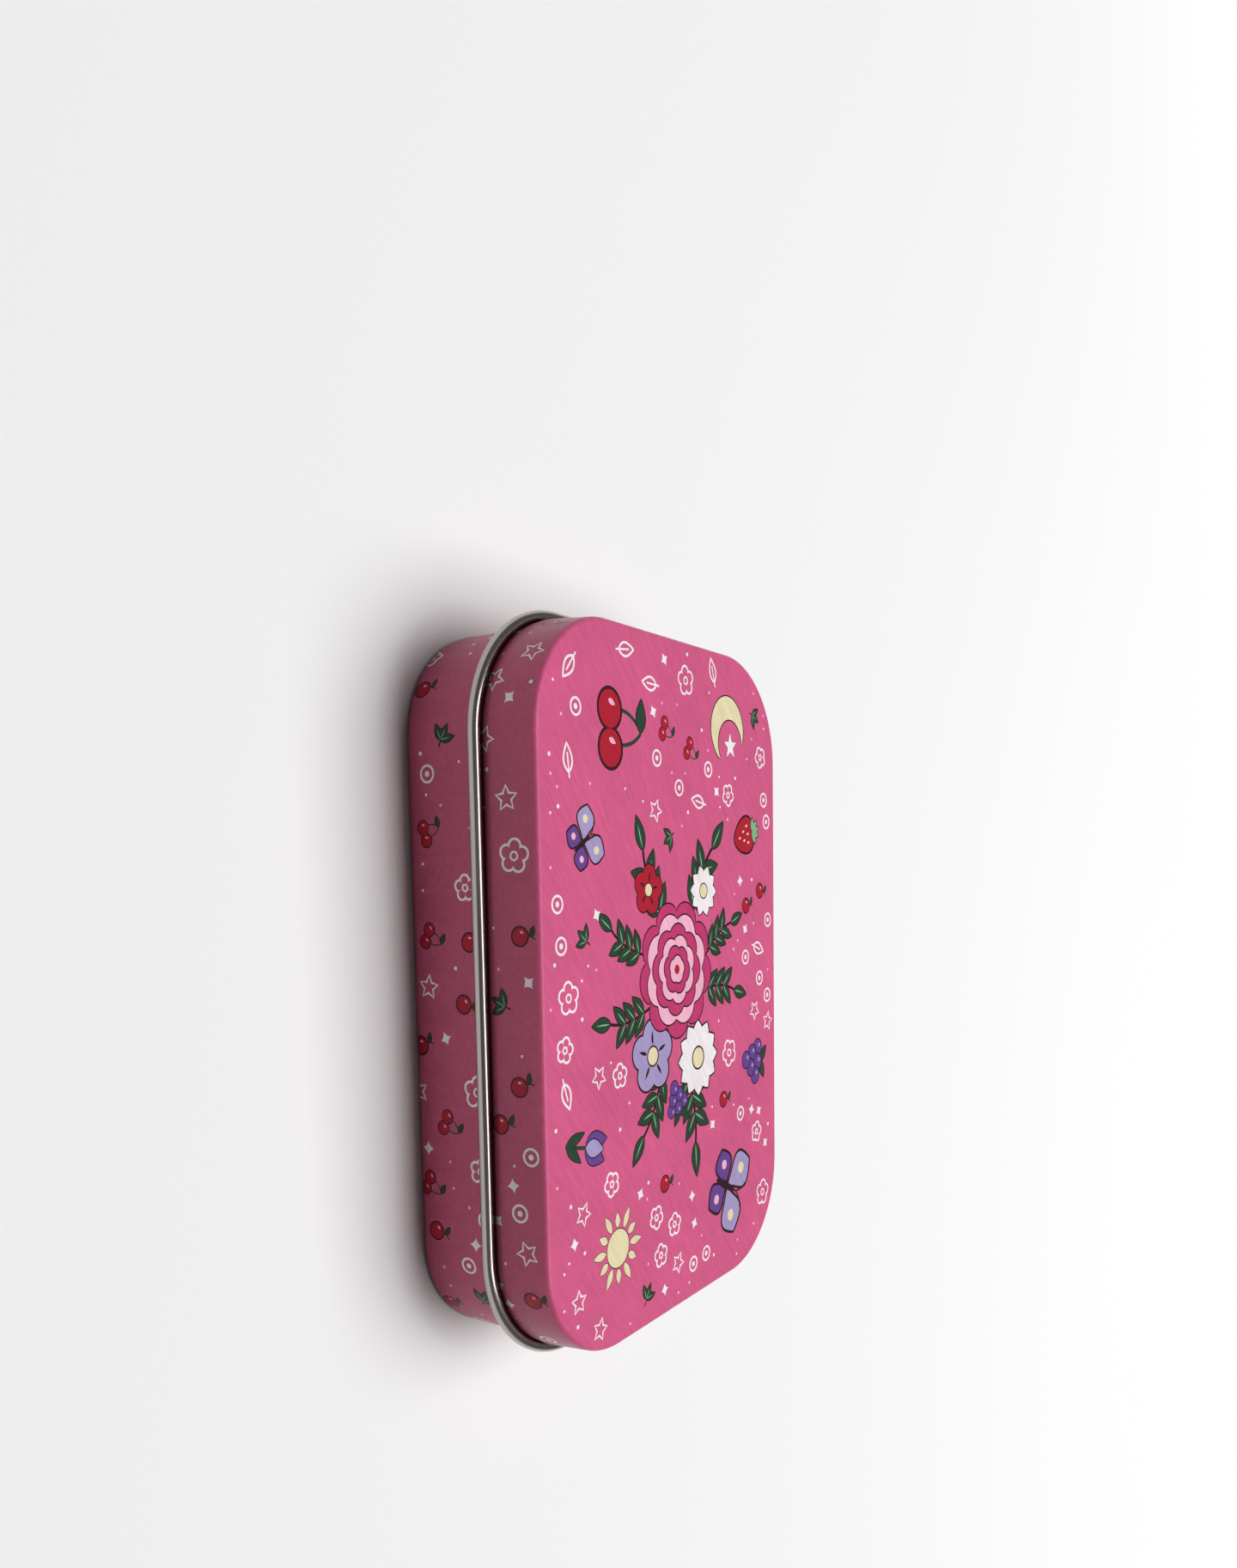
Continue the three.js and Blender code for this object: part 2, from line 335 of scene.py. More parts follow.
def base_line(size, levels):
    """Middle of the base's sheet: bottom, edge, wall with rows at the given heights, and inward curl."""
    half = size.sheet / 2
    wall = wall_offset(size)
    bend = size.bottom_edge - half
    top = size.bead_height + size.rim_overlap - half - size.rim_roll
    centre = (wall - bend, size.bottom_edge)
    edge = arc(centre, bend, 270, 360, EDGE_STEPS)
    rows = np.stack([np.full(len(levels), wall), levels], 1)
    curl = arc((wall - size.rim_roll, top), size.rim_roll, 0, RIM_TURN, RIM_TURN // ROLL_STEP)
    return np.vstack([[[wall - bend - size.bottom_edge, half]], edge, rows, curl])


def knuckle_places(size):
    """X places of the middles of the lid's two knuckles and of the base's four."""
    step = (size.lid_knuckle + size.base_knuckle) / 2 + size.knuckle_gap
    lid = [-size.hinge_x, size.hinge_x]
    return lid, [middle + hand * step for middle in lid for hand in (-1, 1)]


def hinge_cuts(size):
    """Where the hinges cut the sheets: the lid's notches, and the base's windows and tongue slots.

    Each cut is a list of its low X, high X, low Z and high Z.
    """
    outer = size.wire / 2 + size.wire_gap + size.sheet
    lid_half = size.wire_long / 2 + size.notch_gap
    base_half = size.wire_long / 2 + size.window_gap
    slot_half = size.base_knuckle / 2 + size.window_gap
    top = size.bead_height + size.notch_top
    low = HINGE[2] - outer - size.window_gap
    high = HINGE[2] + outer + size.window_gap
    hinges, tongues = knuckle_places(size)
    notches = [[at - lid_half, at + lid_half, 0, top] for at in hinges]
    windows = [[at - base_half, at + base_half, low, high] for at in hinges]
    slots = [[at - slot_half, at + slot_half, low - size.tongue_slit, low] for at in tongues]
    return notches, [windows[0], *slots[:2], windows[1], *slots[2:]]


def lid_plan(size):
    """The lid's cuts and columns, and the middle of its sheet with a row at the top of the notches."""
    cuts = hinge_cuts(size)[0]
    return cuts, columns(size, cuts), split_at(lid_line(size), cuts[0][3])


def base_plan(size):
    """The base's cuts and columns, and the middle of its sheet with rows at the ends of the cuts."""
    cuts = hinge_cuts(size)[1]
    levels = np.unique(np.round([cut[2:] for cut in cuts], 9))
    return cuts, columns(size, cuts), base_line(size, levels)


# Meshes

def make_piece(name, points, faces, materials, which=None, inks=None, normals=None, laps=None, chart=None):
    """Mesh object from whole arrays, smooth but for creases.

    Which gives the material of each face, inks a colour for each corner of each face, laps the length along
    the section at each point, and chart the place of each corner on the texture map.
    """
    mesh = bpy.data.meshes.new(name)
    mesh.from_pydata(points, [], faces)
    for material in materials:
        mesh.materials.append(material)
    if which is not None:
        mesh.polygons.foreach_set("material_index", np.asarray(which, dtype=np.int32))
    if inks is not None:
        stain = mesh.color_attributes.new("ink", "FLOAT_COLOR", "CORNER")
        stain.data.foreach_set("color", np.asarray(inks, dtype=np.float32).ravel())
    if laps is not None:
        lap = mesh.attributes.new("lap", "FLOAT", "POINT")
        lap.data.foreach_set("value", np.asarray(laps, dtype=np.float32))
    if chart is not None:
        places = mesh.uv_layers.new(name=BAKE_MAP)
        places.uv.foreach_set("vector", np.asarray(chart, dtype=np.float32).ravel())
    mesh.shade_smooth()
    if normals is None:
        mesh.set_sharp_from_angle(angle=CREASE)
    else:
        mesh.normals_split_custom_set_from_vertices(normals)
    mesh.update()
    piece = bpy.data.objects.new(name, mesh)
    bpy.context.scene.collection.objects.link(piece)
    return piece


def rim_faces(edges, shift):
    """Faces that join the edges of one side to the same edges of the other side, shift places later."""
    start, stop = edges[:, 0], edges[:, 1]
    return np.stack([stop, start, start + shift, stop + shift], 1)


def ring_cells(rows, count):
    """Corners of each cell of a grid whose rows close round on themselves."""
    here = np.arange(rows * count).reshape(rows, count)
    ahead = np.roll(here, -1, axis=1)
    return np.stack([here[:-1], here[1:], ahead[1:], ahead[:-1]], -1)


def grid_sides(cells, keep, neighbours, shift):
    """Both faces of a gridded sheet and the faces along every border of the kept cells."""
    faces = [cells[keep], cells[keep][:, ::-1] + shift]
    for side, neighbour in enumerate(neighbours):
        bare = cells[keep & ~neighbour]
        faces.append(rim_faces(bare[:, [side, (side + 1) % 4]], shift))
    return np.vstack(faces)


def pressed_sheet(size, line, left, right, cols, cuts):
    """Closed sheet: a section carried round the outline, with its panel and its openings.

    The left face is the line moved along its mitres by left, and the right face by right the other way. Each
    panel row runs straight from one side of the outline to the other. Returns points, faces, and the length
    along the section at each point.
    """
    rows, count = len(line), len(cols)
    shift = rows * count
    stretch = mitres(line)
    grids = []
    for move in (left, -right):
        section = line + move * stretch
        flat, _ = around(size, cols[None, :], section[:, :1])
        grids.append(np.dstack([flat, np.repeat(section[:, 1:], count, axis=1)]))

    # Cells that an opening at the back takes out
    knots = outline_knots(size)[0]
    total = knots[-1]
    middle = (cols + np.append(cols[1:], total)) / 2
    back_x = np.where(middle < total / 4, -middle, np.where(middle > total * 3 / 4, total - middle, np.inf))
    level = (line[:-1, 1] + line[1:, 1]) / 2
    keep = np.ones((rows - 1, count), dtype=bool)
    for low_x, high_x, low_z, high_z in cuts:
        beside = (back_x > low_x) & (back_x < high_x)
        keep &= ~(((level > low_z) & (level < high_z))[:, None] & beside[None, :])

    above = np.vstack([np.ones((1, count), dtype=bool), keep[:-1]])
    below = np.vstack([keep[1:], np.zeros((1, count), dtype=bool)])
    beside = (np.roll(keep, 1, axis=1), below, np.roll(keep, -1, axis=1), above)
    faces = [grid_sides(ring_cells(rows, count), keep, beside, shift)]

    # Panel: rows across the outline, whose ends are the first row of the section
    corners = np.searchsorted(cols, knots[[1, 4, 5, 8]] - SAME_COLUMN)
    left_ends = np.arange(corners[1], corners[0] - 1, -1)
    right_ends = np.arange(corners[2], corners[3] + 1)
    front = np.arange(corners[1], corners[2] + 1)
    back = np.concatenate([np.arange(corners[0], -1, -1), np.arange(count - 1, corners[3] - 1, -1)])
    inside = (len(left_ends) - 2) * (len(front) - 2)
    share = (cols[front] - cols[front[0]]) / (cols[front[-1]] - cols[front[0]])
    points = [grid.reshape(-1, 3) for grid in grids]
    for side, grid in enumerate(grids):
        ids = np.empty((len(left_ends), len(front)), dtype=int)
        ids[:, 0] = left_ends
        ids[:, -1] = right_ends
        ids[0] = front
        ids[-1] = back
        ids += side * shift
        ids[1:-1, 1:-1] = 2 * shift + side * inside + np.arange(inside).reshape(len(left_ends) - 2, -1)
        near = grid[0, left_ends[1:-1]][:, None, :]
        far = grid[0, right_ends[1:-1]][:, None, :]
        points.append((near + (far - near) * share[None, 1:-1, None]).reshape(-1, 3))
        panel = np.stack([ids[:-1, :-1], ids[:-1, 1:], ids[1:, 1:], ids[1:, :-1]], -1).reshape(-1, 4)
        faces.append(panel if side == 0 else panel[:, ::-1])
    laps = np.concatenate([np.tile(np.repeat(lengths(line), count), 2), np.zeros(2 * inside)])
    faces = np.vstack(faces)
    used, place = np.unique(faces, return_inverse=True)
    return np.vstack(points)[used], place.reshape(faces.shape), laps[used]


def rolled_strip(size, line, low, high):
    """Strip of sheet: a section at the back of the tin carried straight along X, with the side of each face.

    Returns points, faces, and a mark for each face: 0 left of the line, 1 right of it and 2 at its borders.
    """
    stretch = mitres(line)
    across = np.array([low, high])
    grids = []
    for move in (size.sheet / 2, -size.sheet / 2):
        section = line + move * stretch
        x, y = np.meshgrid(across, size.wide / 2 + section[:, 0])
        z = np.repeat(section[:, 1:], 2, axis=1)
        grids.append(np.dstack([x, y, z]).reshape(-1, 3))
    shift = len(grids[0])
    here = np.arange(shift).reshape(-1, 2)
    cells = np.stack([here[:-1, 1], here[1:, 1], here[1:, 0], here[:-1, 0]], -1)[:, None, :]
    count = len(cells)
    keep = np.ones((count, 1), dtype=bool)
    bare = np.zeros((count, 1), dtype=bool)
    below = np.append(keep[1:], bare[:1], axis=0)
    above = np.append(bare[:1], keep[1:], axis=0)
    faces = grid_sides(cells, keep, (bare, below, bare, above), shift)
    side = np.full(len(faces), 2)
    side[:count] = 0
    side[count:2 * count] = 1
    return np.vstack(grids), faces, side


# Print

def triangulated(ring, holes, paints, rails, first):
    """Triangles of a flat print with the number of the paint on top of each, or -1 for the bare ground.

    A constrained Delaunay triangulation takes the ring, the holes, every painted outline and the rails, which
    are the lines where the sheet bends. A triangle takes the last paint that covers it. The number of the
    first paint is given.
    """
    loops = [ring, *holes, *[outline for outline, _ in paints]]
    starts = np.cumsum([0] + [len(loop) for loop in loops] + [2 * len(rails)])
    corners = np.vstack([*loops, *rails])
    faces = [list(range(start, stop)) for start, stop in zip(starts[:-2], starts[1:-1])]
    ends = np.arange(starts[-2], starts[-1]).reshape(-1, 2)
    flat, _, triangles, _, _, origins = delaunay_2d_cdt(
        [Vector(corner) for corner in corners], ends.tolist(), faces, 1, SAME_PRINT, True)
    bare = len(holes)
    kept = np.array([0 in covers and not any(0 < cover <= bare for cover in covers) for covers in origins])
    top = np.array([max(covers, default=0) for covers in origins])[kept]
    return np.array(flat), np.array(triangles)[kept], np.where(top > bare, top - bare - 1 + first, -1)


def welded(points, reach):
    """For each point the number of the first point that lies within reach of it.

    Points are put in order along a slanting line, so that two that coincide stand within a few places.
    """
    order = np.argsort(points @ np.array([0.531, 0.733, 0.426]), kind="stable")
    parent = np.arange(len(points))
    for step in (3, 2, 1):
        ahead, behind = order[step:], order[:-step]
        near = np.linalg.norm(points[ahead] - points[behind], axis=1) < reach
        parent[ahead[near]] = behind[near]
    for _ in range(3):
        parent = parent[parent]
    return parent


def film_piece(name, size, colours, parts, paints):
    """Thin closed film from parts that each give points, normals, triangles, paints, painted shade and chart.

    The parts are joined where their points meet. The back of the film is its face moved in along the normals,
    and every open edge is closed. On the texture map the parts' charts lie one above the other, with the back
    small on top of them. The ground goes over to the darker side colour as the sheet turns upright, a painted
    shade on the upright sides.
    """
    points = np.vstack([part[0] for part in parts])
    normals = np.vstack([part[1] for part in parts])
    shaded_share = np.concatenate([part[4] for part in parts])
    starts = np.cumsum([0] + [len(part[0]) for part in parts[:-1]])
    triangles = np.vstack([part[2] + start for part, start in zip(parts, starts)])
    stain = np.concatenate([part[3] for part in parts])
    rises = np.cumsum([0] + [np.max(part[5][:, :, 1]) + MAP_GAP for part in parts])
    front = np.vstack([part[5] + [0, rise] for part, rise in zip(parts, rises)])
    triangles = welded(points, SAME_POINT)[triangles]
    real = np.all(triangles != np.roll(triangles, 1, axis=1), axis=1)
    triangles, stain, front = triangles[real], stain[real], front[real]
    used, place = np.unique(triangles, return_inverse=True)
    points, normals, shaded_share, triangles = points[used], normals[used], shaded_share[used], place.reshape(-1, 3)

    count = len(points)
    edges = np.vstack([triangles[:, [0, 1]], triangles[:, [1, 2]], triangles[:, [2, 0]]])
    bare = edges[~np.isin(edges[:, 0] * count + edges[:, 1], edges[:, 1] * count + edges[:, 0])]
    rims = rim_faces(bare, count)
    faces = np.vstack([triangles, triangles[:, ::-1] + count, rims[:, [0, 1, 2]], rims[:, [0, 2, 3]]])

    palette = np.array([[*getattr(colours, ink), 1] for _, ink in paints])
    ground = np.array([*colours.ground, 1])
    # Painted shade: the ground darkens towards the side colour as the sheet turns upright
    upright = 1 - np.abs(normals[:, 2:])
    inks = (ground + upright * ([*colours.side, 1] - ground))[faces % count]
    painted = np.flatnonzero((stain >= 0) & np.any(palette[stain] != ground, axis=1))
    inks[painted] = palette[stain[painted]][:, None, :]
    # Painted shade darkens every ink by its share
    inks[:, :, :3] *= shaded_share[faces % count][:, :, None]

    back = front * BACK_SCALE + [0, rises[-1]]
    spots = np.zeros((count, 2))
    spots[triangles.ravel()] = back.reshape(-1, 2)
    chart = np.vstack([front, back[:, ::-1], spots[faces[2 * len(triangles):] % count]])
    chart = (chart + MAP_GAP) / (np.max(chart) + 2 * MAP_GAP)
    points = np.vstack([points, points - size.film * normals])
    normals = np.vstack([normals, -normals])
    return make_piece(name, points, faces, [printed_tinplate()], inks=inks, normals=normals, chart=chart)


def panel_part(size, cols, offset, height, paints, up, detail):
    """Flat part of a film: the outline at an offset, which faces up or down, with its scale on the map."""
    ring = around(size, cols, offset)[0] / MM
    flat, triangles, stain = triangulated(ring, [], paints, [], first=0)
    points = np.column_stack([flat * MM, np.full(len(flat), height)])
    normals = np.repeat([[0, 0, up]], len(flat), axis=0)
    triangles = triangles if up > 0 else triangles[:, ::-1]
    spread = flat * [up, 1]
    chart = ((spread - spread.min(axis=0)) * detail)[triangles]
    return points, normals, triangles, stain, np.ones(len(flat)), chart


def wall_part(size, section, cols, cuts, paints, painted_shade, first):
    """Upright part of a film, drawn flat in arc length and in length down the section.

    The flat height of a point is minus its length along the section, so the print's up is the tin's up.
    Painted shade gives heights in millimetres, and the share of the ink's colour that is left at each, so
    that the crease and the foot of a wall are shaded. The chart is the flat wall, cut at posts into lengths
    that lie one above the other.
    """
    total = outline_knots(size)[0][-1]
    run = lengths(section)
    ring = np.array([[0, -run[-1]], [total, -run[-1]], [total, 0], [0, 0]]) / MM
    crest = int(np.argmax(section[:, 1]))
    holes = []
    for low_x, high_x, low_z, high_z in cuts:
        falls = -np.interp([-low_z, -high_z], -section[crest:, 1], run[crest:])
        spans = [-high_x, -low_x] if high_x < 0 else [total - high_x, total - low_x]
        holes.append(np.array([[spans[0], falls[0]], [spans[1], falls[0]], [spans[1], falls[1]],
                               [spans[0], falls[1]]]) / MM)
    rows = [np.array([[0, -fall], [total, -fall]]) / MM for fall in run[1:-1]]
    posts = [np.array([[at, -run[-1]], [at, 0]]) / MM for at in cols[1:]]
    flat, triangles, stain = triangulated(ring, holes, paints, rows + posts, first)
    along = np.clip(flat[:, 0] * MM, 0, total)
    fall = np.clip(-flat[:, 1] * MM, 0, run[-1])
    offset = np.interp(fall, run, section[:, 0])
    height = np.interp(fall, run, section[:, 1])
    lean = unit(mitres(section))
    out = np.interp(fall, run, lean[:, 0])
    rise = np.interp(fall, run, lean[:, 1])
    place, facing = around(size, along, offset)
    normals = unit(np.column_stack([facing * out[:, None], rise]))
    # Painted shade: the share of the ink's colour that is kept at each height
    shaded_share = np.interp(height / MM, *np.transpose(painted_shade))

    ideal = total * np.arange(1, WALL_LENGTHS) / WALL_LENGTHS
    breaks = cols[np.argmin(np.abs(np.subtract.outer(cols, ideal)), axis=0)]
    number = np.searchsorted(breaks, along[triangles].mean(axis=1))
    start = np.append(0, breaks)[number][:, None]
    lift = number[:, None] * (run[-1] + MAP_GAP * MM)
    chart = np.stack([along[triangles] - start, run[-1] - fall[triangles] + lift], axis=2) / MM
    return np.column_stack([place, height]), normals, triangles, stain, shaded_share, chart


# Motifs, in millimetres, each a list of outlines with their inks

def circle(radius, x=0.0, y=0.0, count=36):
    """Circle round a point."""
    angle = np.linspace(0, 2 * np.pi, count, endpoint=False)
    return np.stack([x + radius * np.cos(angle), y + radius * np.sin(angle)], 1)


def scallop(radius, lobes, depth, turn=0.0):
    """Round of lobes: the radius falls by the share depth between two lobes, as a cosine without its sign."""
    angle = np.linspace(0, 2 * np.pi, lobes * 12, endpoint=False)
    reach = radius * (1 - depth + depth * np.abs(np.cos(lobes * (angle - turn) / 2)) ** 0.7)
    return np.stack([reach * np.cos(angle), reach * np.sin(angle)], 1)


def leaf(long, wide, lean=0.8, count=15):
    """Leaf from the origin along X, whose half width is a sine that leans towards the stem."""
    share = np.linspace(0, 1, count)
    half = wide / 2 * np.sin(np.pi * share ** lean)
    return np.vstack([np.stack([share * long, -half], 1), np.stack([share * long, half], 1)[-2:0:-1]])


def star(points, outer, inner, turn=90.0):
    """Star whose corners stand in turn on an outer and an inner circle."""
    angle = np.radians(turn) + np.pi * np.arange(2 * points) / points
    reach = np.where(np.arange(2 * points) % 2 == 0, outer, inner)
    return np.stack([reach * np.cos(angle), reach * np.sin(angle)], 1)


def twinkle(radius):
    """Four-pointed star: the cube of the cosine against the cube of the sine."""
    angle = np.linspace(0, 2 * np.pi, 40, endpoint=False)
    return radius * np.stack([np.cos(angle) ** 3, np.sin(angle) ** 3], 1)


def crescent(radius):
    """Moon between an outer circle and an inner one that is moved to the right."""
    outer = arc((0, 0), radius, 45, 315, 30)
    shift = 0.45 * radius
    rise = radius * math.sqrt(0.5)
    tip = math.degrees(math.atan2(rise, rise - shift))
    bite = math.hypot(rise, rise - shift)
    return np.vstack([outer, arc((shift, 0), bite, 360 - tip, tip, 24)[1:-1]])


def stroke(line, width):
    """Line of even width: its left side, and its right side back again."""
    line = np.asarray(line, dtype=float)
    side = mitres(line) * width / 2
    return np.vstack([line - side, (line + side)[::-1]])


def bow(start, bend, stop, count=9):
    """Curve of second degree from start to stop, drawn towards the bend."""
    share = np.linspace(0, 1, count)[:, None]
    start, bend, stop = np.array(start), np.array(bend), np.array(stop)
    return (1 - share) ** 2 * start + 2 * share * (1 - share) * bend + share ** 2 * stop


def moved(shape, x=0.0, y=0.0, turn=0.0, scale=1.0):
    """Shape scaled and turned in degrees about the origin, and then moved."""
    angle = math.radians(turn)
    spin = np.array([[math.cos(angle), math.sin(angle)], [-math.sin(angle), math.cos(angle)]])
    return scale * (shape @ spin) + np.array([x, y])


def grown(shape, width):
    """Outline pushed out by a width along the mean of the normals of the two edges at each corner."""
    edge = unit(np.roll(shape, -1, axis=0) - shape)
    out = np.stack([edge[:, 1], -edge[:, 0]], 1)
    mean = out + np.roll(out, 1, axis=0)
    return shape + width * mean / np.maximum(np.linalg.norm(mean, axis=1, keepdims=True), 1e-6)


def outlined(shapes, ink, width=0.2):
    """Shapes of one ink over the dark line round all of them together."""
    return [(grown(shape, width), "keyline") for shape in shapes] + [(shape, ink) for shape in shapes]


def placed(paints, x, y, turn=0.0, scale=1.0):
    """Motif moved to its place."""
    return [(moved(outline, x, y, turn, scale), ink) for outline, ink in paints]


def daisy(radius, petals=9, ink="white"):
    """Narrow petals round a warm heart."""
    blade = moved(leaf(radius * 0.85, radius * 0.5, 1.25), radius * 0.15)
    blades = [moved(blade, turn=360 * at / petals) for at in range(petals)]
    return outlined(blades, ink, 0.05 * radius) + outlined([circle(radius * 0.27)], "cream", 0.05 * radius)


def blossom(radius, ink="crimson", heart="cream"):
    """Five round petals and a dotted heart."""
    turns = [90 + 72 * at for at in range(5)]
    spread = [moved(circle(radius * 0.44, radius * 0.54), turn=turn) for turn in turns]
    veins = [moved(moved(leaf(radius * 0.4, radius * 0.1), radius * 0.3), turn=turn) for turn in turns]
    return (outlined(spread, ink, 0.06 * radius) + [(vein, "keyline") for vein in veins]
            + outlined([circle(radius * 0.24)], heart, 0.05 * radius))


def rosette(radius):
    """Full blossom: rounds of petals that shrink and turn towards the heart."""
    rounds = [(1.0, 9, "rose"), (0.83, 8, "blush"), (0.66, 8, "rose"), (0.5, 7, "blush"), (0.35, 6, "rose"),
              (0.2, 5, "blush")]
    paints = []
    for at, (share, lobes, ink) in enumerate(rounds):
        paints += outlined([scallop(radius * share, lobes, 0.16, 0.35 * at)], ink, 0.22)
    return paints + [(circle(radius * 0.07), "crimson")]


def sprig(long, pairs=3):
    """Bent stem with pairs of ribbed leaves and one at its tip."""
    bends = (0, 0), (long * 0.5, long * 0.12), (long * 0.8, 0)
    stem = bow(*bends)
    blades = [moved(leaf(long * 0.34, long * 0.15), long * 0.78, 0, -8)]
    ribs = [moved(leaf(long * 0.24, long * 0.018), long * 0.80, 0, -8)]
    for at in range(pairs):
        share = 0.16 + 0.62 * at / pairs
        foot = bow(*bends, 50)[int(49 * share)]
        for turn in (48, -48):
            blades.append(moved(leaf(long * 0.3, long * 0.14), *foot, turn))
            ribs.append(moved(leaf(long * 0.2, long * 0.018), *foot, turn))
    return ([(stroke(stem, long * 0.035), "keyline")] + outlined(blades, "leaf", 0.16)
            + [(rib, "mint") for rib in ribs])


def cherries():
    """Two fruits on bent stalks under a leaf."""
    fruit = [circle(1.12, -1.05, -0.95), circle(1.12, 1.2, -1.25)]
    stalks = [bow((-0.95, 0.1), (-0.7, 1.5), (0.55, 2.2)), bow((1.1, -0.2), (1.3, 1.2), (0.55, 2.2))]
    shine = [moved(leaf(0.75, 0.36), x, y, 60) for x, y in ((-1.6, -1.0), (0.62, -1.3))]
    blade = moved(leaf(2.0, 1.0), 0.5, 2.15, 168)
    return ([(stroke(stalk, 0.24), "leaf") for stalk in stalks] + outlined(fruit, "crimson")
            + [(mark, "blush") for mark in shine] + outlined([blade], "leaf", 0.1))


def strawberry():
    """Pointed fruit with seeds under a leafy crown."""
    angle = np.linspace(0, 2 * np.pi, 48, endpoint=False)
    body = np.stack([1.5 * np.cos(angle) * (1 + 0.28 * np.sin(angle)), 1.8 * np.sin(angle) - 0.3], 1)
    seeds = [moved(leaf(0.42, 0.22), x, y, -90)
             for x, y in ((-0.75, 0.5), (0.0, 0.6), (0.75, 0.5), (-0.4, -0.2), (0.4, -0.2), (0.0, -0.95))]
    crown = [moved(leaf(1.25, 0.6), 0, 1.3, turn) for turn in (15, 55, 90, 125, 165)]
    return outlined([body], "crimson") + [(seed, "cream") for seed in seeds] + outlined(crown, "mint", 0.1)


def berries():
    """Bunch of round fruits under a leaf."""
    spots = ((-1.3, 0.7), (0.1, 0.9), (1.4, 0.6), (-0.7, -0.4), (0.7, -0.4), (0.0, -1.5))
    paints = outlined([moved(leaf(1.9, 0.95), 0, 1.4, turn) for turn in (35, 145)], "leaf", 0.1)
    for x, y in spots:
        paints += outlined([circle(0.78, x, y, 28)], "violet", 0.12)
        paints.append((circle(0.2, x - 0.25, y + 0.28, 14), "lilac"))
    return paints


def tulip():
    """Cup of three petals on a stem with two leaves."""
    stem = stroke([(0, -2.6), (0.05, -1.2), (0, 0.2)], 0.3)
    blades = [moved(leaf(2.3, 0.75), 0, -2.5, turn) for turn in (62, 118)]
    outer = [moved(leaf(2.6, 1.4), x, -0.1, turn) for x, turn in ((-0.3, 102), (0.3, 78))]
    inner = moved(leaf(2.3, 1.3), 0, -0.1, 90)
    return ([(stem, "leaf")] + outlined(blades, "leaf", 0.08) + outlined(outer, "violet", 0.1)
            + outlined([inner], "lilac", 0.1))


def butterfly(scale):
    """Two pairs of spotted wings on a dark body."""
    upper = (90 - 48, 90 + 48)
    lower = (90 - 128, 90 + 128)
    body = moved(leaf(3.4, 0.6), 0, -1.7, 90)
    horns = [stroke(bow((0, 1.5), (hand * 0.2, 2.3), (hand * 0.9, 2.7)), 0.13) for hand in (1, -1)]
    paints = (outlined([moved(leaf(3.6, 2.7, 1.5), 0, 0.1, turn) for turn in upper], "lilac")
              + outlined([moved(leaf(2.6, 2.1, 1.4), 0, -0.1, turn) for turn in lower], "violet")
              + [(moved(circle(0.42, 2.35), turn=turn), "cream") for turn in upper]
              + [(moved(circle(0.34, 1.6), turn=turn), "blush") for turn in lower]
              + [(mark, "keyline") for mark in (body, *horns)])
    return placed(paints, 0, 0, 0, scale)


def sun(radius):
    """Rays of two lengths round a disc."""
    pair = [moved(leaf(radius * reach, radius * 0.2), radius * 0.5) for reach in (0.38, 0.52)]
    rays = [moved(pair[at % 2], turn=30 * at) for at in range(12)]
    return outlined(rays, "cream", 0.08) + outlined([circle(radius * 0.46)], "cream", 0.12)


def moon(radius):
    """Crescent with a small star."""
    spark = moved(star(5, radius * 0.4, radius * 0.17), radius * 0.5)
    return outlined([crescent(radius)], "cream") + outlined([spark], "white", 0.08)


def glint(radius):
    """Four-pointed sparkle."""
    return [(twinkle(radius), "white")]


def lined(shapes, width=0.3):
    """White line round all of some shapes together, with the ground inside."""
    return ([(grown(shape, width / 2), "white") for shape in shapes]
            + [(grown(shape, -width / 2), "ground") for shape in shapes])


def line_flower(radius):
    """Line round five petals, with a ring at the heart."""
    petals = [moved(circle(radius * 0.42, radius * 0.56, 0, 28), turn=72 * at) for at in range(5)]
    return lined(petals + [circle(radius * 0.4)]) + lined([circle(radius * 0.24, count=20)], 0.25)


def line_star(radius):
    """Line round a five-pointed star."""
    return lined([star(5, radius, radius * 0.48)])


def line_leaf():
    """Line round a leaf, with its rib."""
    return lined([leaf(3.4, 1.7)]) + [(stroke([(-0.7, 0), (2.3, 0)], 0.25), "white")]


def line_rings(radius):
    """Dot within a ring."""
    return lined([circle(radius, count=28)]) + [(circle(radius * 0.36, count=16), "white")]


def dot(radius, ink="white"):
    """Small dot."""
    return [(circle(radius, count=18), ink)]


def leaflets():
    """Three ribbed leaves on a short stem."""
    turns = (90, 38, 142)
    blades = [moved(leaf(2.2, 1.0), 0, -0.7, turn) for turn in turns]
    ribs = [moved(leaf(1.5, 0.13), 0, -0.7, turn) for turn in turns]
    return ([(stroke([(0.15, -1.6), (0, -0.6)], 0.22), "keyline")] + outlined(blades, "leaf", 0.11)
            + [(rib, "mint") for rib in ribs])


def berry():
    """One round fruit with a short stalk and a leaf."""
    stalk = stroke(bow((0, 0.6), (0.1, 1.4), (0.6, 1.7)), 0.2)
    blade = moved(leaf(1.3, 0.65), 0.15, 1.1, 150)
    shine = moved(leaf(0.6, 0.3), -0.6, -0.3, 60)
    return ([(stalk, "leaf")] + outlined([circle(1.05, 0, -0.35)], "crimson")
            + outlined([blade], "leaf", 0.09) + [(shine, "blush")])


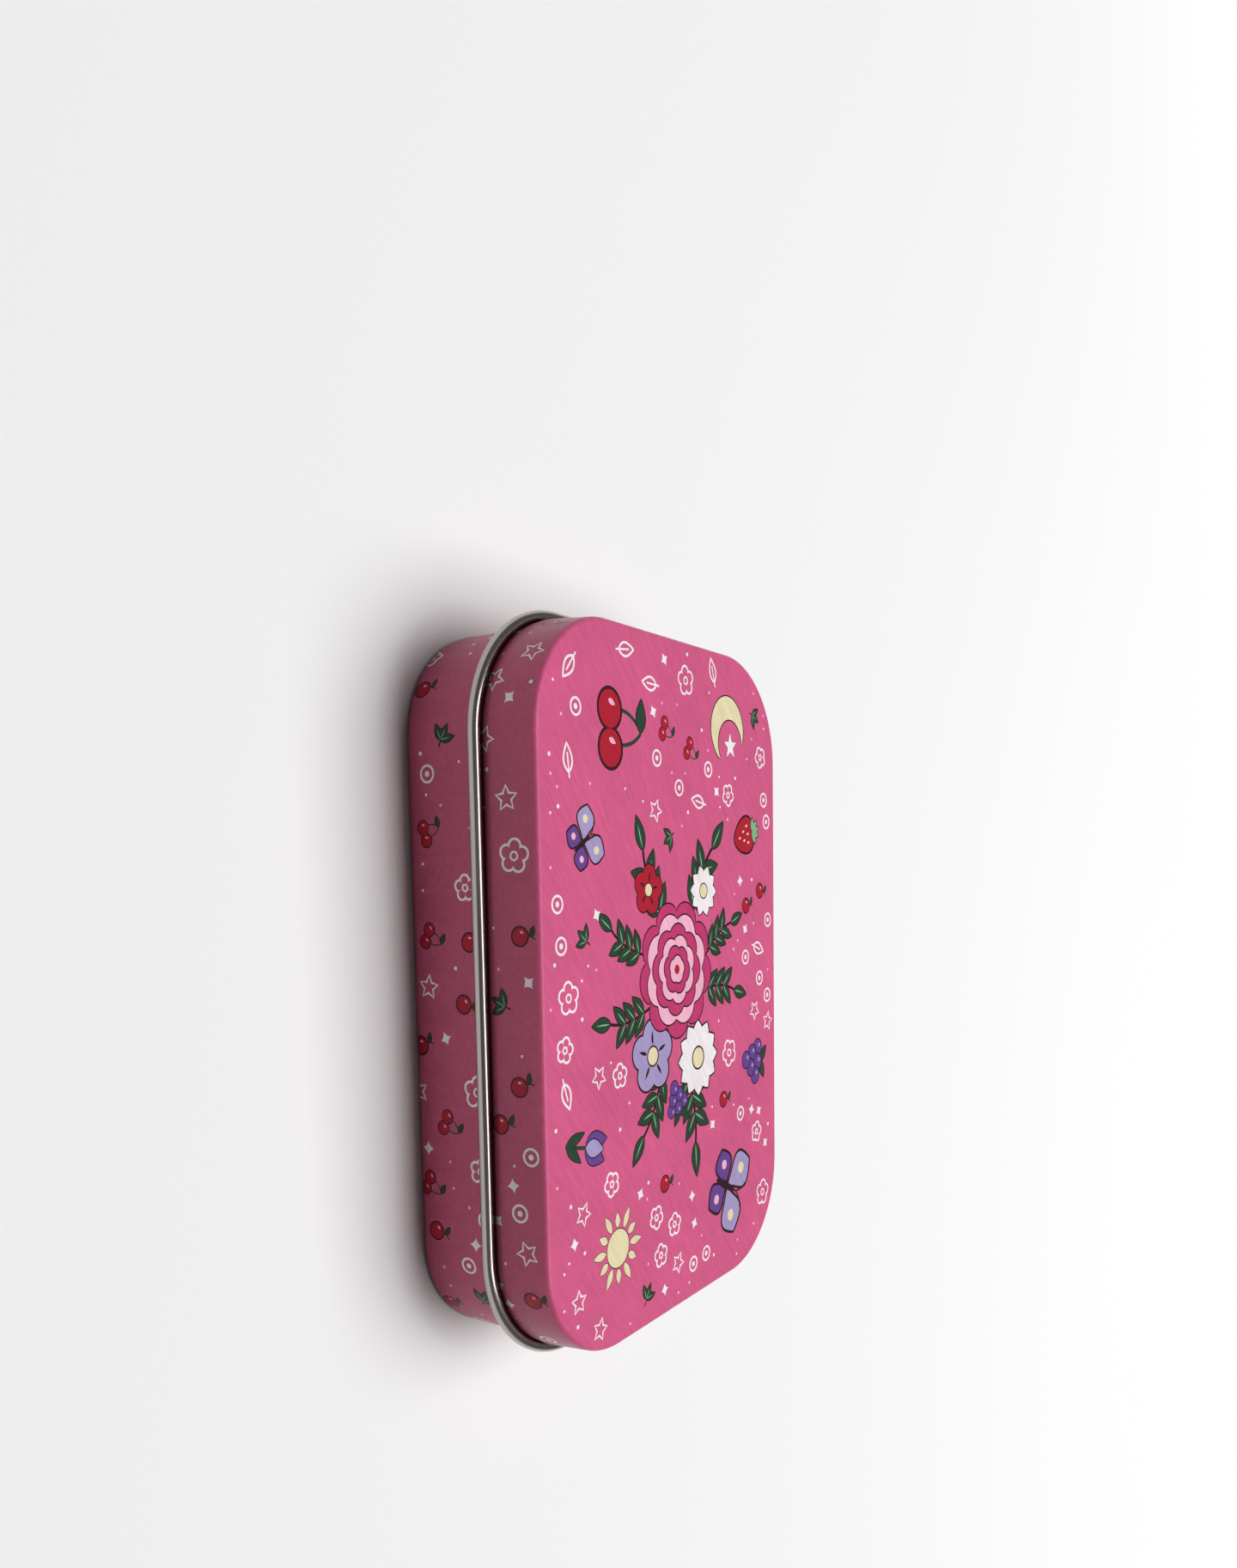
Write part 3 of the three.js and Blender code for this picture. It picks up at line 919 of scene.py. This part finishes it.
# Kinds of scattered motif: how to draw one, the room it takes in millimetres, and how far it may be turned
SCATTER_MARKS = [
    (lambda: line_flower(2.0), 2.1, 180),
    (lambda: line_flower(1.6), 1.7, 180),
    (lambda: line_star(1.5), 1.6, 36),
    (lambda: placed(line_leaf(), -1.3, 0), 1.8, 180),
    (lambda: line_rings(1.0), 1.1, 0),
    (berry, 1.8, 30),
    (leaflets, 1.9, 180),
    (lambda: placed(cherries(), 0, 0, 0, 0.72), 2.1, 30),
]
SCATTER_TINY = [
    (lambda: dot(0.26), 0.4, 0),
    (lambda: dot(0.18), 0.3, 0),
    (lambda: glint(0.95), 0.8, 45),
    (lambda: dot(0.2, "blush"), 0.3, 0),
]


def scattered(taken, kinds, low, high, fits, seed, tries, gap):
    """Motifs thrown at random places, kept where they stay clear of those already there.

    Taken holds the places and rooms so far, and is added to.
    """
    random = np.random.default_rng(seed)
    paints = []
    for _ in range(tries):
        draw, room, swing = kinds[random.integers(len(kinds))]
        x, y = random.uniform(low, high)
        turn = random.uniform(-swing, swing)
        spots = np.array(taken)
        if not fits(x, y, room):
            continue
        if np.any(np.hypot(spots[:, 0] - x, spots[:, 1] - y) < spots[:, 2] + room + gap):
            continue
        taken.append((x, y, room))
        paints += placed(draw(), x, y, turn)
    return paints


def lid_top_print(size):
    """Print of the lid's panel: a bunch of flowers in the middle, single motifs round it, and a scatter."""
    paints = []
    for x, y, turn, long in ((-8, 4, 148, 15), (-8, -3, 208, 14), (2, 7, 84, 12), (3, -7, 276, 12),
                             (12, 2, 12, 15), (11, -4, 330, 13), (-3, 8, 118, 11), (-4, -8, 244, 11)):
        paints += placed(sprig(long), x, y, turn)
    paints += placed(daisy(5.4, 12), 11.5, 5.5)
    paints += placed(blossom(5.0, "lilac"), 9.5, -6.5, 20)
    paints += placed(blossom(3.4), -12.5, -7.0, 10)
    paints += placed(daisy(3.6, 10), -12.0, 7.5, 15)
    paints += placed(rosette(9.4), -1.5, 0.0)
    paints += placed(berries(), 16.5, -0.5, -70, 1.25)

    # Places and rooms that the bunch takes up, and the single motifs with theirs
    taken = [(-1.5, 0, 11.5), (-12, 7.5, 4.5), (-12.5, -7, 4.5), (11, 0, 11), (-19, 11, 3.5), (-19, -10, 3.5),
             (24, 4, 4), (20, -9, 4), (2, 15, 4), (3, -15, 4), (-8, 14, 3), (-8, -14, 3)]
    singles = [
        (butterfly(2.1), 32.0, 13.5, -28, 8.2), (moon(4.8), -35.0, 15.0, 20, 5.6),
        (sun(5.4), 33.0, -15.5, 0, 5.8), (placed(cherries(), 0, 0, 0, 2.1), -33.0, -13.0, 8, 6.4),
        (placed(strawberry(), 0, 0, 0, 1.7), -20.0, 20.5, 15, 4.8),
        (placed(tulip(), 0, 0, 0, 1.7), 18.5, -22.0, -14, 5.0),
        (butterfly(1.25), -18.5, -21.5, 30, 5.0), (placed(berries(), 0, 0, 0, 1.6), 14.5, 22.5, -10, 4.6),
    ]
    for motif, x, y, turn, room in singles:
        paints += placed(motif, x, y, turn)
        taken.append((x, y, room))
    half_long = (size.long / 2 - size.corner) / MM
    half_wide = (size.wide / 2 - size.corner) / MM
    reach = (size.corner - size.skirt_lean - size.lid_edge) / MM

    def fits(x, y, room):
        corner = math.hypot(max(abs(x) - half_long, 0), max(abs(y) - half_wide, 0))
        return corner < reach - room - EDGE_CLEAR

    high = np.array([half_long + reach, half_wide + reach])
    area = (-high, high, fits)
    paints += scattered(taken, SCATTER_MARKS, *area, seed=11, tries=1500, gap=1.2)
    return paints + scattered(taken, SCATTER_TINY, *area, seed=13, tries=500, gap=0.8)


def side_print(size, low, high, seed):
    """Print of an upright side: a scatter between two flat heights, clear of the seam at the back."""
    total = outline_knots(size)[0][-1] / MM
    taken = [(0, 0, 0)]

    def fits(x, y, room):
        seam = room + SEAM_CLEAR
        return seam < x < total - seam and low + FOOT_SHARE * room < y < high - room

    area = (np.array([0, low]), np.array([total, high]), fits)
    paints = scattered(taken, SCATTER_MARKS, *area, seed=seed, tries=900, gap=1.9)
    return paints + scattered(taken, SCATTER_TINY, *area, seed=seed + 1, tries=260, gap=1.0)


# Materials

def feed(tree, made, inputs):
    """Give a node its inputs: each is a value or the socket that feeds it."""
    for key, value in inputs.items():
        if isinstance(value, bpy.types.NodeSocket):
            tree.links.new(value, made.inputs[key])
        else:
            made.inputs[key].default_value = value


def node(tree, kind, inputs=None, **settings):
    """New node with its settings and its inputs."""
    made = tree.nodes.new(kind)
    for key, value in settings.items():
        setattr(made, key, value)
    feed(tree, made, inputs or {})
    return made


def material_tree(name):
    """New material's tree and its shader."""
    material = bpy.data.materials.new(name)
    material.use_nodes = True
    tree = material.node_tree
    return material, tree, tree.nodes["Principled BSDF"]


def printed_tinplate():
    """Offset print on tinplate under a gloss varnish.

    The eye gets clear inks that the rolled sheet shows through as faint slanting streaks, a soft gloss with
    the slight orange peel of stoved varnish, and hairline scuffs from handling.
    """
    name = "tinplate offset print under gloss varnish"
    if name in bpy.data.materials:
        return bpy.data.materials[name]
    material, tree, shader = material_tree(name)
    place = node(tree, "ShaderNodeTexCoord").outputs["Object"]
    ink = node(tree, "ShaderNodeAttribute", attribute_name="ink").outputs["Color"]

    # Clouds of 12 mm in the ink's weight, and streaks 0.5 mm wide and 3.5 mm long on the slant
    cloud = node(tree, "ShaderNodeTexNoise", {"Vector": place, "Scale": 1 / (12 * MM), "Detail": 3})
    weight = node(tree, "ShaderNodeMapRange", {"Value": cloud.outputs["Fac"], **SWING, "To Min": 0.95,
                                               "To Max": 1.05})
    slant = node(tree, "ShaderNodeMapping", {"Vector": place, "Rotation": (0, 0, math.radians(37)),
                                             "Scale": (3.5 * MM, 0.5 * MM, 0.5 * MM)}, vector_type="TEXTURE")
    streak = node(tree, "ShaderNodeTexNoise", {"Vector": slant.outputs["Vector"], "Scale": 1, "Detail": 2})
    level = node(tree, "ShaderNodeMapRange", {"Value": streak.outputs["Fac"], **SWING, "To Min": 0.93,
                                              "To Max": 1.07})
    value = node(tree, "ShaderNodeMath", {0: weight.outputs["Result"], 1: level.outputs["Result"]},
                 operation="MULTIPLY")
    tone = node(tree, "ShaderNodeHueSaturation", {"Color": ink, "Value": value.outputs["Value"]})

    # Peel of 0.45 mm in the varnish, over the same streaks
    peel = node(tree, "ShaderNodeTexNoise", {"Vector": place, "Scale": 1 / (0.45 * MM), "Detail": 2})
    relief = node(tree, "ShaderNodeMath", {0: peel.outputs["Fac"], 1: streak.outputs["Fac"]}, operation="ADD")
    bump = node(tree, "ShaderNodeBump", {"Height": relief.outputs["Value"], "Strength": 0.15,
                                         "Distance": 0.02 * MM})

    # Hairline scuffs 0.1 mm wide and 6 mm long, which dull the gloss
    hair = node(tree, "ShaderNodeMapping", {"Vector": place, "Rotation": (0.1, 0.2, math.radians(-20)),
                                            "Scale": (6 * MM, 0.1 * MM, 0.5 * MM)}, vector_type="TEXTURE")
    scuff = node(tree, "ShaderNodeTexNoise", {"Vector": hair.outputs["Vector"], "Scale": 1, "Detail": 1})
    rough = node(tree, "ShaderNodeMapRange", {"Value": scuff.outputs["Fac"], "From Min": 0.35,
                                              "From Max": 0.8, "To Min": 0.3, "To Max": 0.5})
    feed(tree, shader, {"Base Color": tone.outputs["Color"], "Normal": bump.outputs["Normal"],
                        "Roughness": rough.outputs["Result"], "IOR": 1.5, "Specular IOR Level": 0.15,
                        "Coat Weight": 0.08, "Coat Roughness": 0.12})
    return material


def bare_tinplate(colours):
    """Bright electrolytic tinplate, flow melted and then rolled.

    The eye gets a pale warm silver with fine rolling lines along the sheet, faint cloudy tin grain, and
    streaked soft reflections.
    """
    name = "tinplate bare bright rolled"
    if name in bpy.data.materials:
        return bpy.data.materials[name]
    material, tree, shader = material_tree(name)
    place = node(tree, "ShaderNodeTexCoord").outputs["Object"]
    grain = node(tree, "ShaderNodeTexNoise", {"Vector": place, "Scale": 1 / (3 * MM), "Detail": 5})
    shade = node(tree, "ShaderNodeMapRange", {"Value": grain.outputs["Fac"], **SWING, "To Min": 0.9,
                                              "To Max": 1.06})
    tone = node(tree, "ShaderNodeHueSaturation", {"Color": (*colours.tinplate, 1),
                                                  "Value": shade.outputs["Result"]})

    # Rolling lines 0.15 mm wide and 14 mm long, along the tin
    stretch = node(tree, "ShaderNodeMapping", {"Vector": place, "Scale": (14 * MM, 0.15 * MM, 0.15 * MM)},
                   vector_type="TEXTURE")
    lines = node(tree, "ShaderNodeTexNoise", {"Vector": stretch.outputs["Vector"], "Scale": 1, "Detail": 2})
    rough = node(tree, "ShaderNodeMapRange", {"Value": lines.outputs["Fac"], **SWING, "To Min": 0.18,
                                              "To Max": 0.34})
    bump = node(tree, "ShaderNodeBump", {"Height": lines.outputs["Fac"], "Strength": 0.08,
                                         "Distance": 0.02 * MM})
    feed(tree, shader, {"Base Color": tone.outputs["Color"], "Roughness": rough.outputs["Result"],
                        "Normal": bump.outputs["Normal"], "Metallic": 1})
    return material


def curled_tinplate(colours):
    """Curled tinplate of the bead: greyer and sharper, with fine lines along the bead.

    The grey is a painted shade, which dims the bead's reflections.
    """
    material, tree, shader = material_tree("tinplate bare curled and burnished")
    place = node(tree, "ShaderNodeTexCoord").outputs["Object"]

    # Lines 0.3 mm wide and 25 mm long: the object's X and Y along the bead, the lap across it
    along = node(tree, "ShaderNodeMapping", {"Vector": place, "Scale": (25 * MM, 25 * MM, 1)},
                 vector_type="TEXTURE")
    lap = node(tree, "ShaderNodeAttribute", attribute_name="lap").outputs["Fac"]
    across = node(tree, "ShaderNodeMath", {0: lap, 1: 0.3 * MM}, operation="DIVIDE")
    rise = node(tree, "ShaderNodeCombineXYZ", {"Z": across.outputs["Value"]})
    both = node(tree, "ShaderNodeVectorMath", {0: along.outputs["Vector"], 1: rise.outputs["Vector"]},
                operation="ADD")
    lines = node(tree, "ShaderNodeTexNoise", {"Vector": both.outputs["Vector"], "Scale": 1, "Detail": 2})
    level = node(tree, "ShaderNodeMapRange", {"Value": lines.outputs["Fac"], **SWING, "To Min": 0.86,
                                              "To Max": 1.06})
    # The bead's darker colour is a painted shade
    tone = node(tree, "ShaderNodeHueSaturation", {"Color": (*colours.bead, 1),
                                                  "Value": level.outputs["Result"]})
    rough = node(tree, "ShaderNodeMapRange", {"Value": lines.outputs["Fac"], **SWING, "To Min": 0.14,
                                              "To Max": 0.26})
    feed(tree, shader, {"Base Color": tone.outputs["Color"], "Roughness": rough.outputs["Result"],
                        "Metallic": 1})
    return material


def drawn_wire(colours):
    """Drawn mild steel wire: grey, with fine die lines along its length."""
    material, tree, shader = material_tree("steel wire drawn")
    place = node(tree, "ShaderNodeTexCoord").outputs["Object"]

    # Die lines 0.06 mm wide and 6 mm long
    stretch = node(tree, "ShaderNodeMapping", {"Vector": place, "Scale": (6 * MM, 0.06 * MM, 0.06 * MM)},
                   vector_type="TEXTURE")
    lines = node(tree, "ShaderNodeTexNoise", {"Vector": stretch.outputs["Vector"], "Scale": 1, "Detail": 2})
    level = node(tree, "ShaderNodeMapRange", {"Value": lines.outputs["Fac"], **SWING, "To Min": 0.85,
                                              "To Max": 1.05})
    tone = node(tree, "ShaderNodeHueSaturation", {"Color": (*colours.steel, 1),
                                                  "Value": level.outputs["Result"]})
    rough = node(tree, "ShaderNodeMapRange", {"Value": lines.outputs["Fac"], "To Min": 0.22, "To Max": 0.42})
    bump = node(tree, "ShaderNodeBump", {"Height": lines.outputs["Fac"], "Strength": 0.2,
                                         "Distance": 0.01 * MM})
    feed(tree, shader, {"Base Color": tone.outputs["Color"], "Roughness": rough.outputs["Result"],
                        "Normal": bump.outputs["Normal"], "Metallic": 1})
    return material


def matt_board(stage):
    """White matt board with a tooth of 2 mm, which is seen in one colour and lights the tin in another.

    Far off, where the lamp no longer reaches, the eye sees it run into the white room.
    """
    material, tree, shader = material_tree("board matt white")
    place = node(tree, "ShaderNodeTexCoord").outputs["Object"]
    tooth = node(tree, "ShaderNodeTexNoise", {"Vector": place, "Scale": 1 / (2 * MM), "Detail": 3})
    rough = node(tree, "ShaderNodeMapRange", {"Value": tooth.outputs["Fac"], "To Min": 0.8, "To Max": 0.95})
    path = node(tree, "ShaderNodeLightPath")
    seen = node(tree, "ShaderNodeMath", {0: path.outputs["Is Camera Ray"],
                                         1: path.outputs["Is Glossy Ray"]}, operation="MAXIMUM")
    board = node(tree, "ShaderNodeMix", {"Factor": seen.outputs["Value"], 6: (*stage.bounce, 1),
                                         7: (*stage.floor, 1)}, data_type="RGBA")
    feed(tree, shader, {"Base Color": board.outputs[2], "Roughness": rough.outputs["Result"],
                        "Specular IOR Level": 0.1})
    far = node(tree, "ShaderNodeVectorMath", {0: place}, operation="LENGTH")
    fade = node(tree, "ShaderNodeMapRange", {"Value": far.outputs["Value"], **FLOOR_FADE},
                interpolation_type="SMOOTHSTEP")
    share = node(tree, "ShaderNodeMath", {0: fade.outputs["Result"], 1: seen.outputs["Value"]},
                 operation="MULTIPLY")
    glow = node(tree, "ShaderNodeEmission", {"Color": (1, 1, 1, 1), "Strength": 1})
    both = node(tree, "ShaderNodeMixShader", {"Fac": share.outputs["Value"], 1: shader.outputs["BSDF"],
                                              2: glow.outputs["Emission"]})
    feed(tree, tree.nodes["Material Output"], {"Surface": both.outputs["Shader"]})
    return material


# Camera and light

def photo_camera(stage):
    """Camera of the photograph: the tin lies flat, and the view is turned a quarter and rolled a little."""
    forward = math.cos(stage.pitch)
    ahead = np.array([math.sin(stage.yaw) * forward, math.cos(stage.yaw) * forward, -math.sin(stage.pitch)])
    level = np.array([math.cos(stage.yaw), -math.sin(stage.yaw), 0])
    rise = np.cross(level, ahead)
    down = level * math.cos(stage.roll) + rise * math.sin(stage.roll)
    right = rise * math.cos(stage.roll) - level * math.sin(stage.roll)
    turn = np.eye(4)
    turn[:3] = np.column_stack([right, -down, -ahead, stage.place])
    camera = bpy.data.objects.new("camera", bpy.data.cameras.new("camera"))
    camera.matrix_world = Matrix(turn)
    camera.data.sensor_width = SENSOR
    camera.data.lens = SENSOR * stage.focal / IMAGE_HEIGHT
    camera.data.shift_x = -stage.axis_x / IMAGE_HEIGHT
    camera.data.shift_y = stage.axis_y / IMAGE_HEIGHT
    camera.data.clip_start, camera.data.clip_end = SIGHT
    return camera


def softbox_lamp(stage):
    """Wide softbox over the tin and mostly behind it.

    The floor then lights the front, and only the lamp's near edge draws a thin bright line along the bead.
    """
    lamp = bpy.data.lights.new("softbox", "AREA")
    lamp.size = stage.softbox
    lamp.energy = stage.power
    box = bpy.data.objects.new("softbox", lamp)
    box.location = (stage.lamp_right, stage.softbox / 2 - stage.lamp_front, stage.softbox)
    return box


def white_room(stage):
    """World that is white to the camera, and in reflections white at the horizon and dim overhead.

    Metal then shows the white ground, and the bead keeps its dark band. As a light the room is dimmer still.
    """
    world = bpy.data.worlds.new("room")
    world.use_nodes = True
    tree = world.node_tree
    path = node(tree, "ShaderNodeLightPath")
    towards = node(tree, "ShaderNodeTexCoord").outputs["Generated"]
    rise = node(tree, "ShaderNodeSeparateXYZ", {"Vector": towards})
    mirrored = node(tree, "ShaderNodeMapRange", {"Value": rise.outputs["Z"], **HORIZON, "To Min": 1,
                                                 "To Max": stage.mirrored}, interpolation_type="SMOOTHSTEP")
    lit = node(tree, "ShaderNodeMix", {0: path.outputs["Is Glossy Ray"], 2: stage.ambient,
                                       3: mirrored.outputs["Result"]}, data_type="FLOAT")
    level = node(tree, "ShaderNodeMath", {0: path.outputs["Is Camera Ray"], 1: lit.outputs[0]},
                 operation="MAXIMUM")
    feed(tree, tree.nodes["Background"], {"Color": (1, 1, 1, 1), "Strength": level.outputs["Value"]})
    return world


# Operators

class TIN_OT_lid_sheet(bpy.types.Operator):
    """Make the lid's tinplate: panel, skirt, neck and hollow bead, notched at the hinges"""
    bl_idname = "tin.lid_sheet"
    bl_label = "Lid sheet"

    def execute(self, context):
        size = context.scene.tin_sizes
        colours = context.scene.tin_colours
        half = size.sheet / 2
        cuts, cols, line = lid_plan(size)
        points, faces, laps = pressed_sheet(size, line, half - COVER * size.film, half, cols, cuts)
        curled = np.max(points[faces][:, :, 2], axis=1) < cuts[0][3] + SAME_POINT
        piece = make_piece("lid_tinplate", points, faces, [bare_tinplate(colours), curled_tinplate(colours)],
                           which=curled, laps=laps)
        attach(piece, "lid")
        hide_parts("lid")
        return {"FINISHED"}


class TIN_OT_base_sheet(bpy.types.Operator):
    """Make the base's tinplate: bottom, wall and rolled rim, with windows for the knuckles"""
    bl_idname = "tin.base_sheet"
    bl_label = "Base sheet"

    def execute(self, context):
        size = context.scene.tin_sizes
        half = size.sheet / 2
        cuts, cols, line = base_plan(size)
        points, faces, _ = pressed_sheet(size, line, half, half - COVER * size.film, cols, cuts)
        piece = make_piece("base_tinplate", points, faces, [bare_tinplate(context.scene.tin_colours)])
        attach(piece, "base")
        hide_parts("base_tray")
        return {"FINISHED"}


class TIN_OT_lid_print(bpy.types.Operator):
    """Lay the print on the lid's panel, edge, skirt and neck, down into the crease of the bead"""
    bl_idname = "tin.lid_print"
    bl_label = "Lid print"

    def execute(self, context):
        size = context.scene.tin_sizes
        cuts, cols, line = lid_plan(size)
        section = (line + size.sheet / 2 * mitres(line))[1:]
        section = section[:np.argmax(section[:, 1] < size.bead_height - size.print_dip)]
        top = lid_top_print(size)
        edge = size.lid_edge * math.pi / 2
        skirt = size.height - size.lid_edge - size.bead_height
        side = side_print(size, -(edge + skirt) / MM, -edge / MM, seed=21)
        parts = [
            panel_part(size, cols, -size.skirt_lean - size.lid_edge, size.height, top, up=1, detail=1),
            wall_part(size, section, cols, cuts, side, LID_PAINTED_SHADE, first=len(top)),
        ]
        piece = film_piece("lid_print", size, context.scene.tin_colours, parts, top + side)
        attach(piece, "lid")
        return {"FINISHED"}


class TIN_OT_base_print(bpy.types.Operator):
    """Lay the print on the base's bottom and wall and over its rolled rim"""
    bl_idname = "tin.base_print"
    bl_label = "Base print"

    def execute(self, context):
        size = context.scene.tin_sizes
        cuts, cols, line = base_plan(size)
        section = (line - size.sheet / 2 * mitres(line))[1:][::-1]
        deep = lengths(section)[-1]
        curl = (size.rim_roll + size.sheet / 2) * math.radians(RIM_TURN)
        side = side_print(size, -deep / MM, -curl / MM, seed=31)
        parts = [
            wall_part(size, section, cols, cuts, side, BASE_PAINTED_SHADE, first=0),
            panel_part(size, cols, section[-1, 0], 0, [], up=-1, detail=BOTTOM_SCALE),
        ]
        piece = film_piece("base_print", size, context.scene.tin_colours, parts, side)
        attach(piece, "base")
        return {"FINISHED"}


class TIN_OT_knuckles(bpy.types.Operator):
    """Make the tongues of the lid and of the base that are rolled round the hinge wires"""
    bl_idname = "tin.knuckles"
    bl_label = "Hinge knuckles"

    def execute(self, context):
        size = context.scene.tin_sizes
        colours = context.scene.tin_colours
        roll = size.wire / 2 + size.wire_gap + size.sheet / 2
        axis = (HINGE[1] - size.wide / 2, HINGE[2])
        neck = axis[0] + roll
        wall = wall_offset(size)
        notches, openings = hinge_cuts(size)
        top = notches[0][3]
        foot = min(low for _, _, low, _ in openings)
        steps = KNUCKLE_TURN // ROLL_STEP
        lid_tongue = np.vstack([[[neck, top]], arc(axis, roll, 0, -KNUCKLE_TURN, steps)])
        leaning = [[wall, foot], [wall, foot + size.tongue_rise], [neck, axis[1] - roll - size.sheet / 2]]
        base_tongue = np.vstack([leaning, arc(axis, roll, 0, KNUCKLE_TURN, steps)])
        lid_places, base_places = knuckle_places(size)
        for name, body, slot, line, places, wide, printed in (
                ("lid_knuckles", "lid", "printed_lid", lid_tongue, lid_places, size.lid_knuckle, 0),
                ("base_knuckles", "base", "printed_base", base_tongue, base_places, size.base_knuckle, 1)):
            strips = [rolled_strip(size, line, at - wide / 2, at + wide / 2) for at in places]
            points, faces, side = zip(*strips)
            starts = np.cumsum([0] + [len(part) for part in points[:-1]])
            faces = np.vstack([part + start for part, start in zip(faces, starts)])
            which = np.where(np.concatenate(side) == printed, 0, 1)
            # The knuckles take the side colour, a painted shade
            inks = np.repeat([(*colours.side, 1)], faces.size, axis=0)
            materials = [printed_tinplate(), bare_tinplate(colours)]
            piece = make_piece(name, np.vstack(points), faces, materials, which, inks)
            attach(piece, body)
        return {"FINISHED"}


class TIN_OT_wires(bpy.types.Operator):
    """Make the two hinge wires with rounded cut ends"""
    bl_idname = "tin.wires"
    bl_label = "Hinge wires"

    def execute(self, context):
        size = context.scene.tin_sizes
        material = drawn_wire(context.scene.tin_colours)
        radius = size.wire / 2
        half = size.wire_long / 2

        # Radius along the wire: a quarter round at each end, and even between
        blunt = size.wire_blunt
        end = arc((half - blunt, radius - blunt), blunt, 0, 90, BLUNT_STEPS)
        x = np.concatenate([-end[:, 0], end[::-1, 0]])
        reach = np.concatenate([end[:, 1], end[::-1, 1]])[:, None]
        angle = np.linspace(0, 2 * np.pi, WIRE_STEPS, endpoint=False)
        ring = np.stack([np.repeat(x[:, None], WIRE_STEPS, axis=1), reach * np.cos(angle),
                         reach * np.sin(angle)], -1).reshape(-1, 3)
        points = np.vstack([ring, [[-half, 0, 0], [half, 0, 0]]])
        cells = ring_cells(len(x), WIRE_STEPS)
        poles = np.full((2, WIRE_STEPS), [[len(ring)], [len(ring) + 1]])
        near = np.stack([cells[0, :, 0], cells[0, :, 3], poles[0]], 1)
        far = np.stack([cells[-1, :, 2], cells[-1, :, 1], poles[1]], 1)
        faces = [*cells.reshape(-1, 4).tolist(), *near.tolist(), *far.tolist()]
        for name, solid, hand in (("hinge_wire_left", "hinge_pin_left", -1),
                                  ("hinge_wire_right", "hinge_pin_right", 1)):
            place = np.array([hand * size.hinge_x, HINGE[1], HINGE[2]])
            piece = make_piece(name, points + place, faces, [material])
            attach(piece, "base")
            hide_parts(solid)
        return {"FINISHED"}


class TIN_OT_stage(bpy.types.Operator):
    """Set the camera, the soft lamp, the room's light and the floor"""
    bl_idname = "tin.stage"
    bl_label = "Stage"

    def execute(self, context):
        stage = context.scene.tin_stage
        context.scene.view_settings.view_transform = "Standard"
        context.scene.world = white_room(stage)
        camera = photo_camera(stage)
        for item in (camera, softbox_lamp(stage)):
            context.scene.collection.objects.link(item)
        context.scene.camera = camera
        square = np.array([[-1, -1, 0], [1, -1, 0], [1, 1, 0], [-1, 1, 0]])
        corners = square * FLOOR_REACH - [0, 0, FLOOR_DROP]
        floor = make_piece("floor", corners, [[0, 1, 2, 3]], [matt_board(stage)])
        return {"FINISHED"}


class TIN_PT_sidebar(bpy.types.Panel):
    """Sizes, inks and makers of the tin"""
    bl_idname = "TIN_PT_sidebar"
    bl_label = "Hinged pocket tin"
    bl_space_type = "VIEW_3D"
    bl_region_type = "UI"
    bl_category = "Tin"

    def draw(self, context):
        column = self.layout.column()
        for operator in OPERATORS:
            column.operator(operator.bl_idname)
        for group in (context.scene.tin_sizes, context.scene.tin_colours, context.scene.tin_stage):
            box = self.layout.box()
            for key in group.__annotations__:
                box.prop(group, key)


OPERATORS = (TIN_OT_stage, TIN_OT_lid_sheet, TIN_OT_base_sheet, TIN_OT_lid_print, TIN_OT_base_print,
             TIN_OT_knuckles, TIN_OT_wires)
CLASSES = (TinSizes, TinColours, TinStage, *OPERATORS, TIN_PT_sidebar)


def register():
    for item in CLASSES:
        bpy.utils.register_class(item)
    bpy.types.Scene.tin_sizes = PointerProperty(type=TinSizes)
    bpy.types.Scene.tin_colours = PointerProperty(type=TinColours)
    bpy.types.Scene.tin_stage = PointerProperty(type=TinStage)


def unregister():
    del bpy.types.Scene.tin_stage
    del bpy.types.Scene.tin_colours
    del bpy.types.Scene.tin_sizes
    for item in reversed(CLASSES):
        bpy.utils.unregister_class(item)


def main():
    """Make every piece."""
    register()
    bpy.ops.tin.stage()
    bpy.ops.tin.lid_sheet()
    bpy.ops.tin.base_sheet()
    bpy.ops.tin.lid_print()
    bpy.ops.tin.base_print()
    bpy.ops.tin.knuckles()
    bpy.ops.tin.wires()


if __name__ == "__main__":
    main()
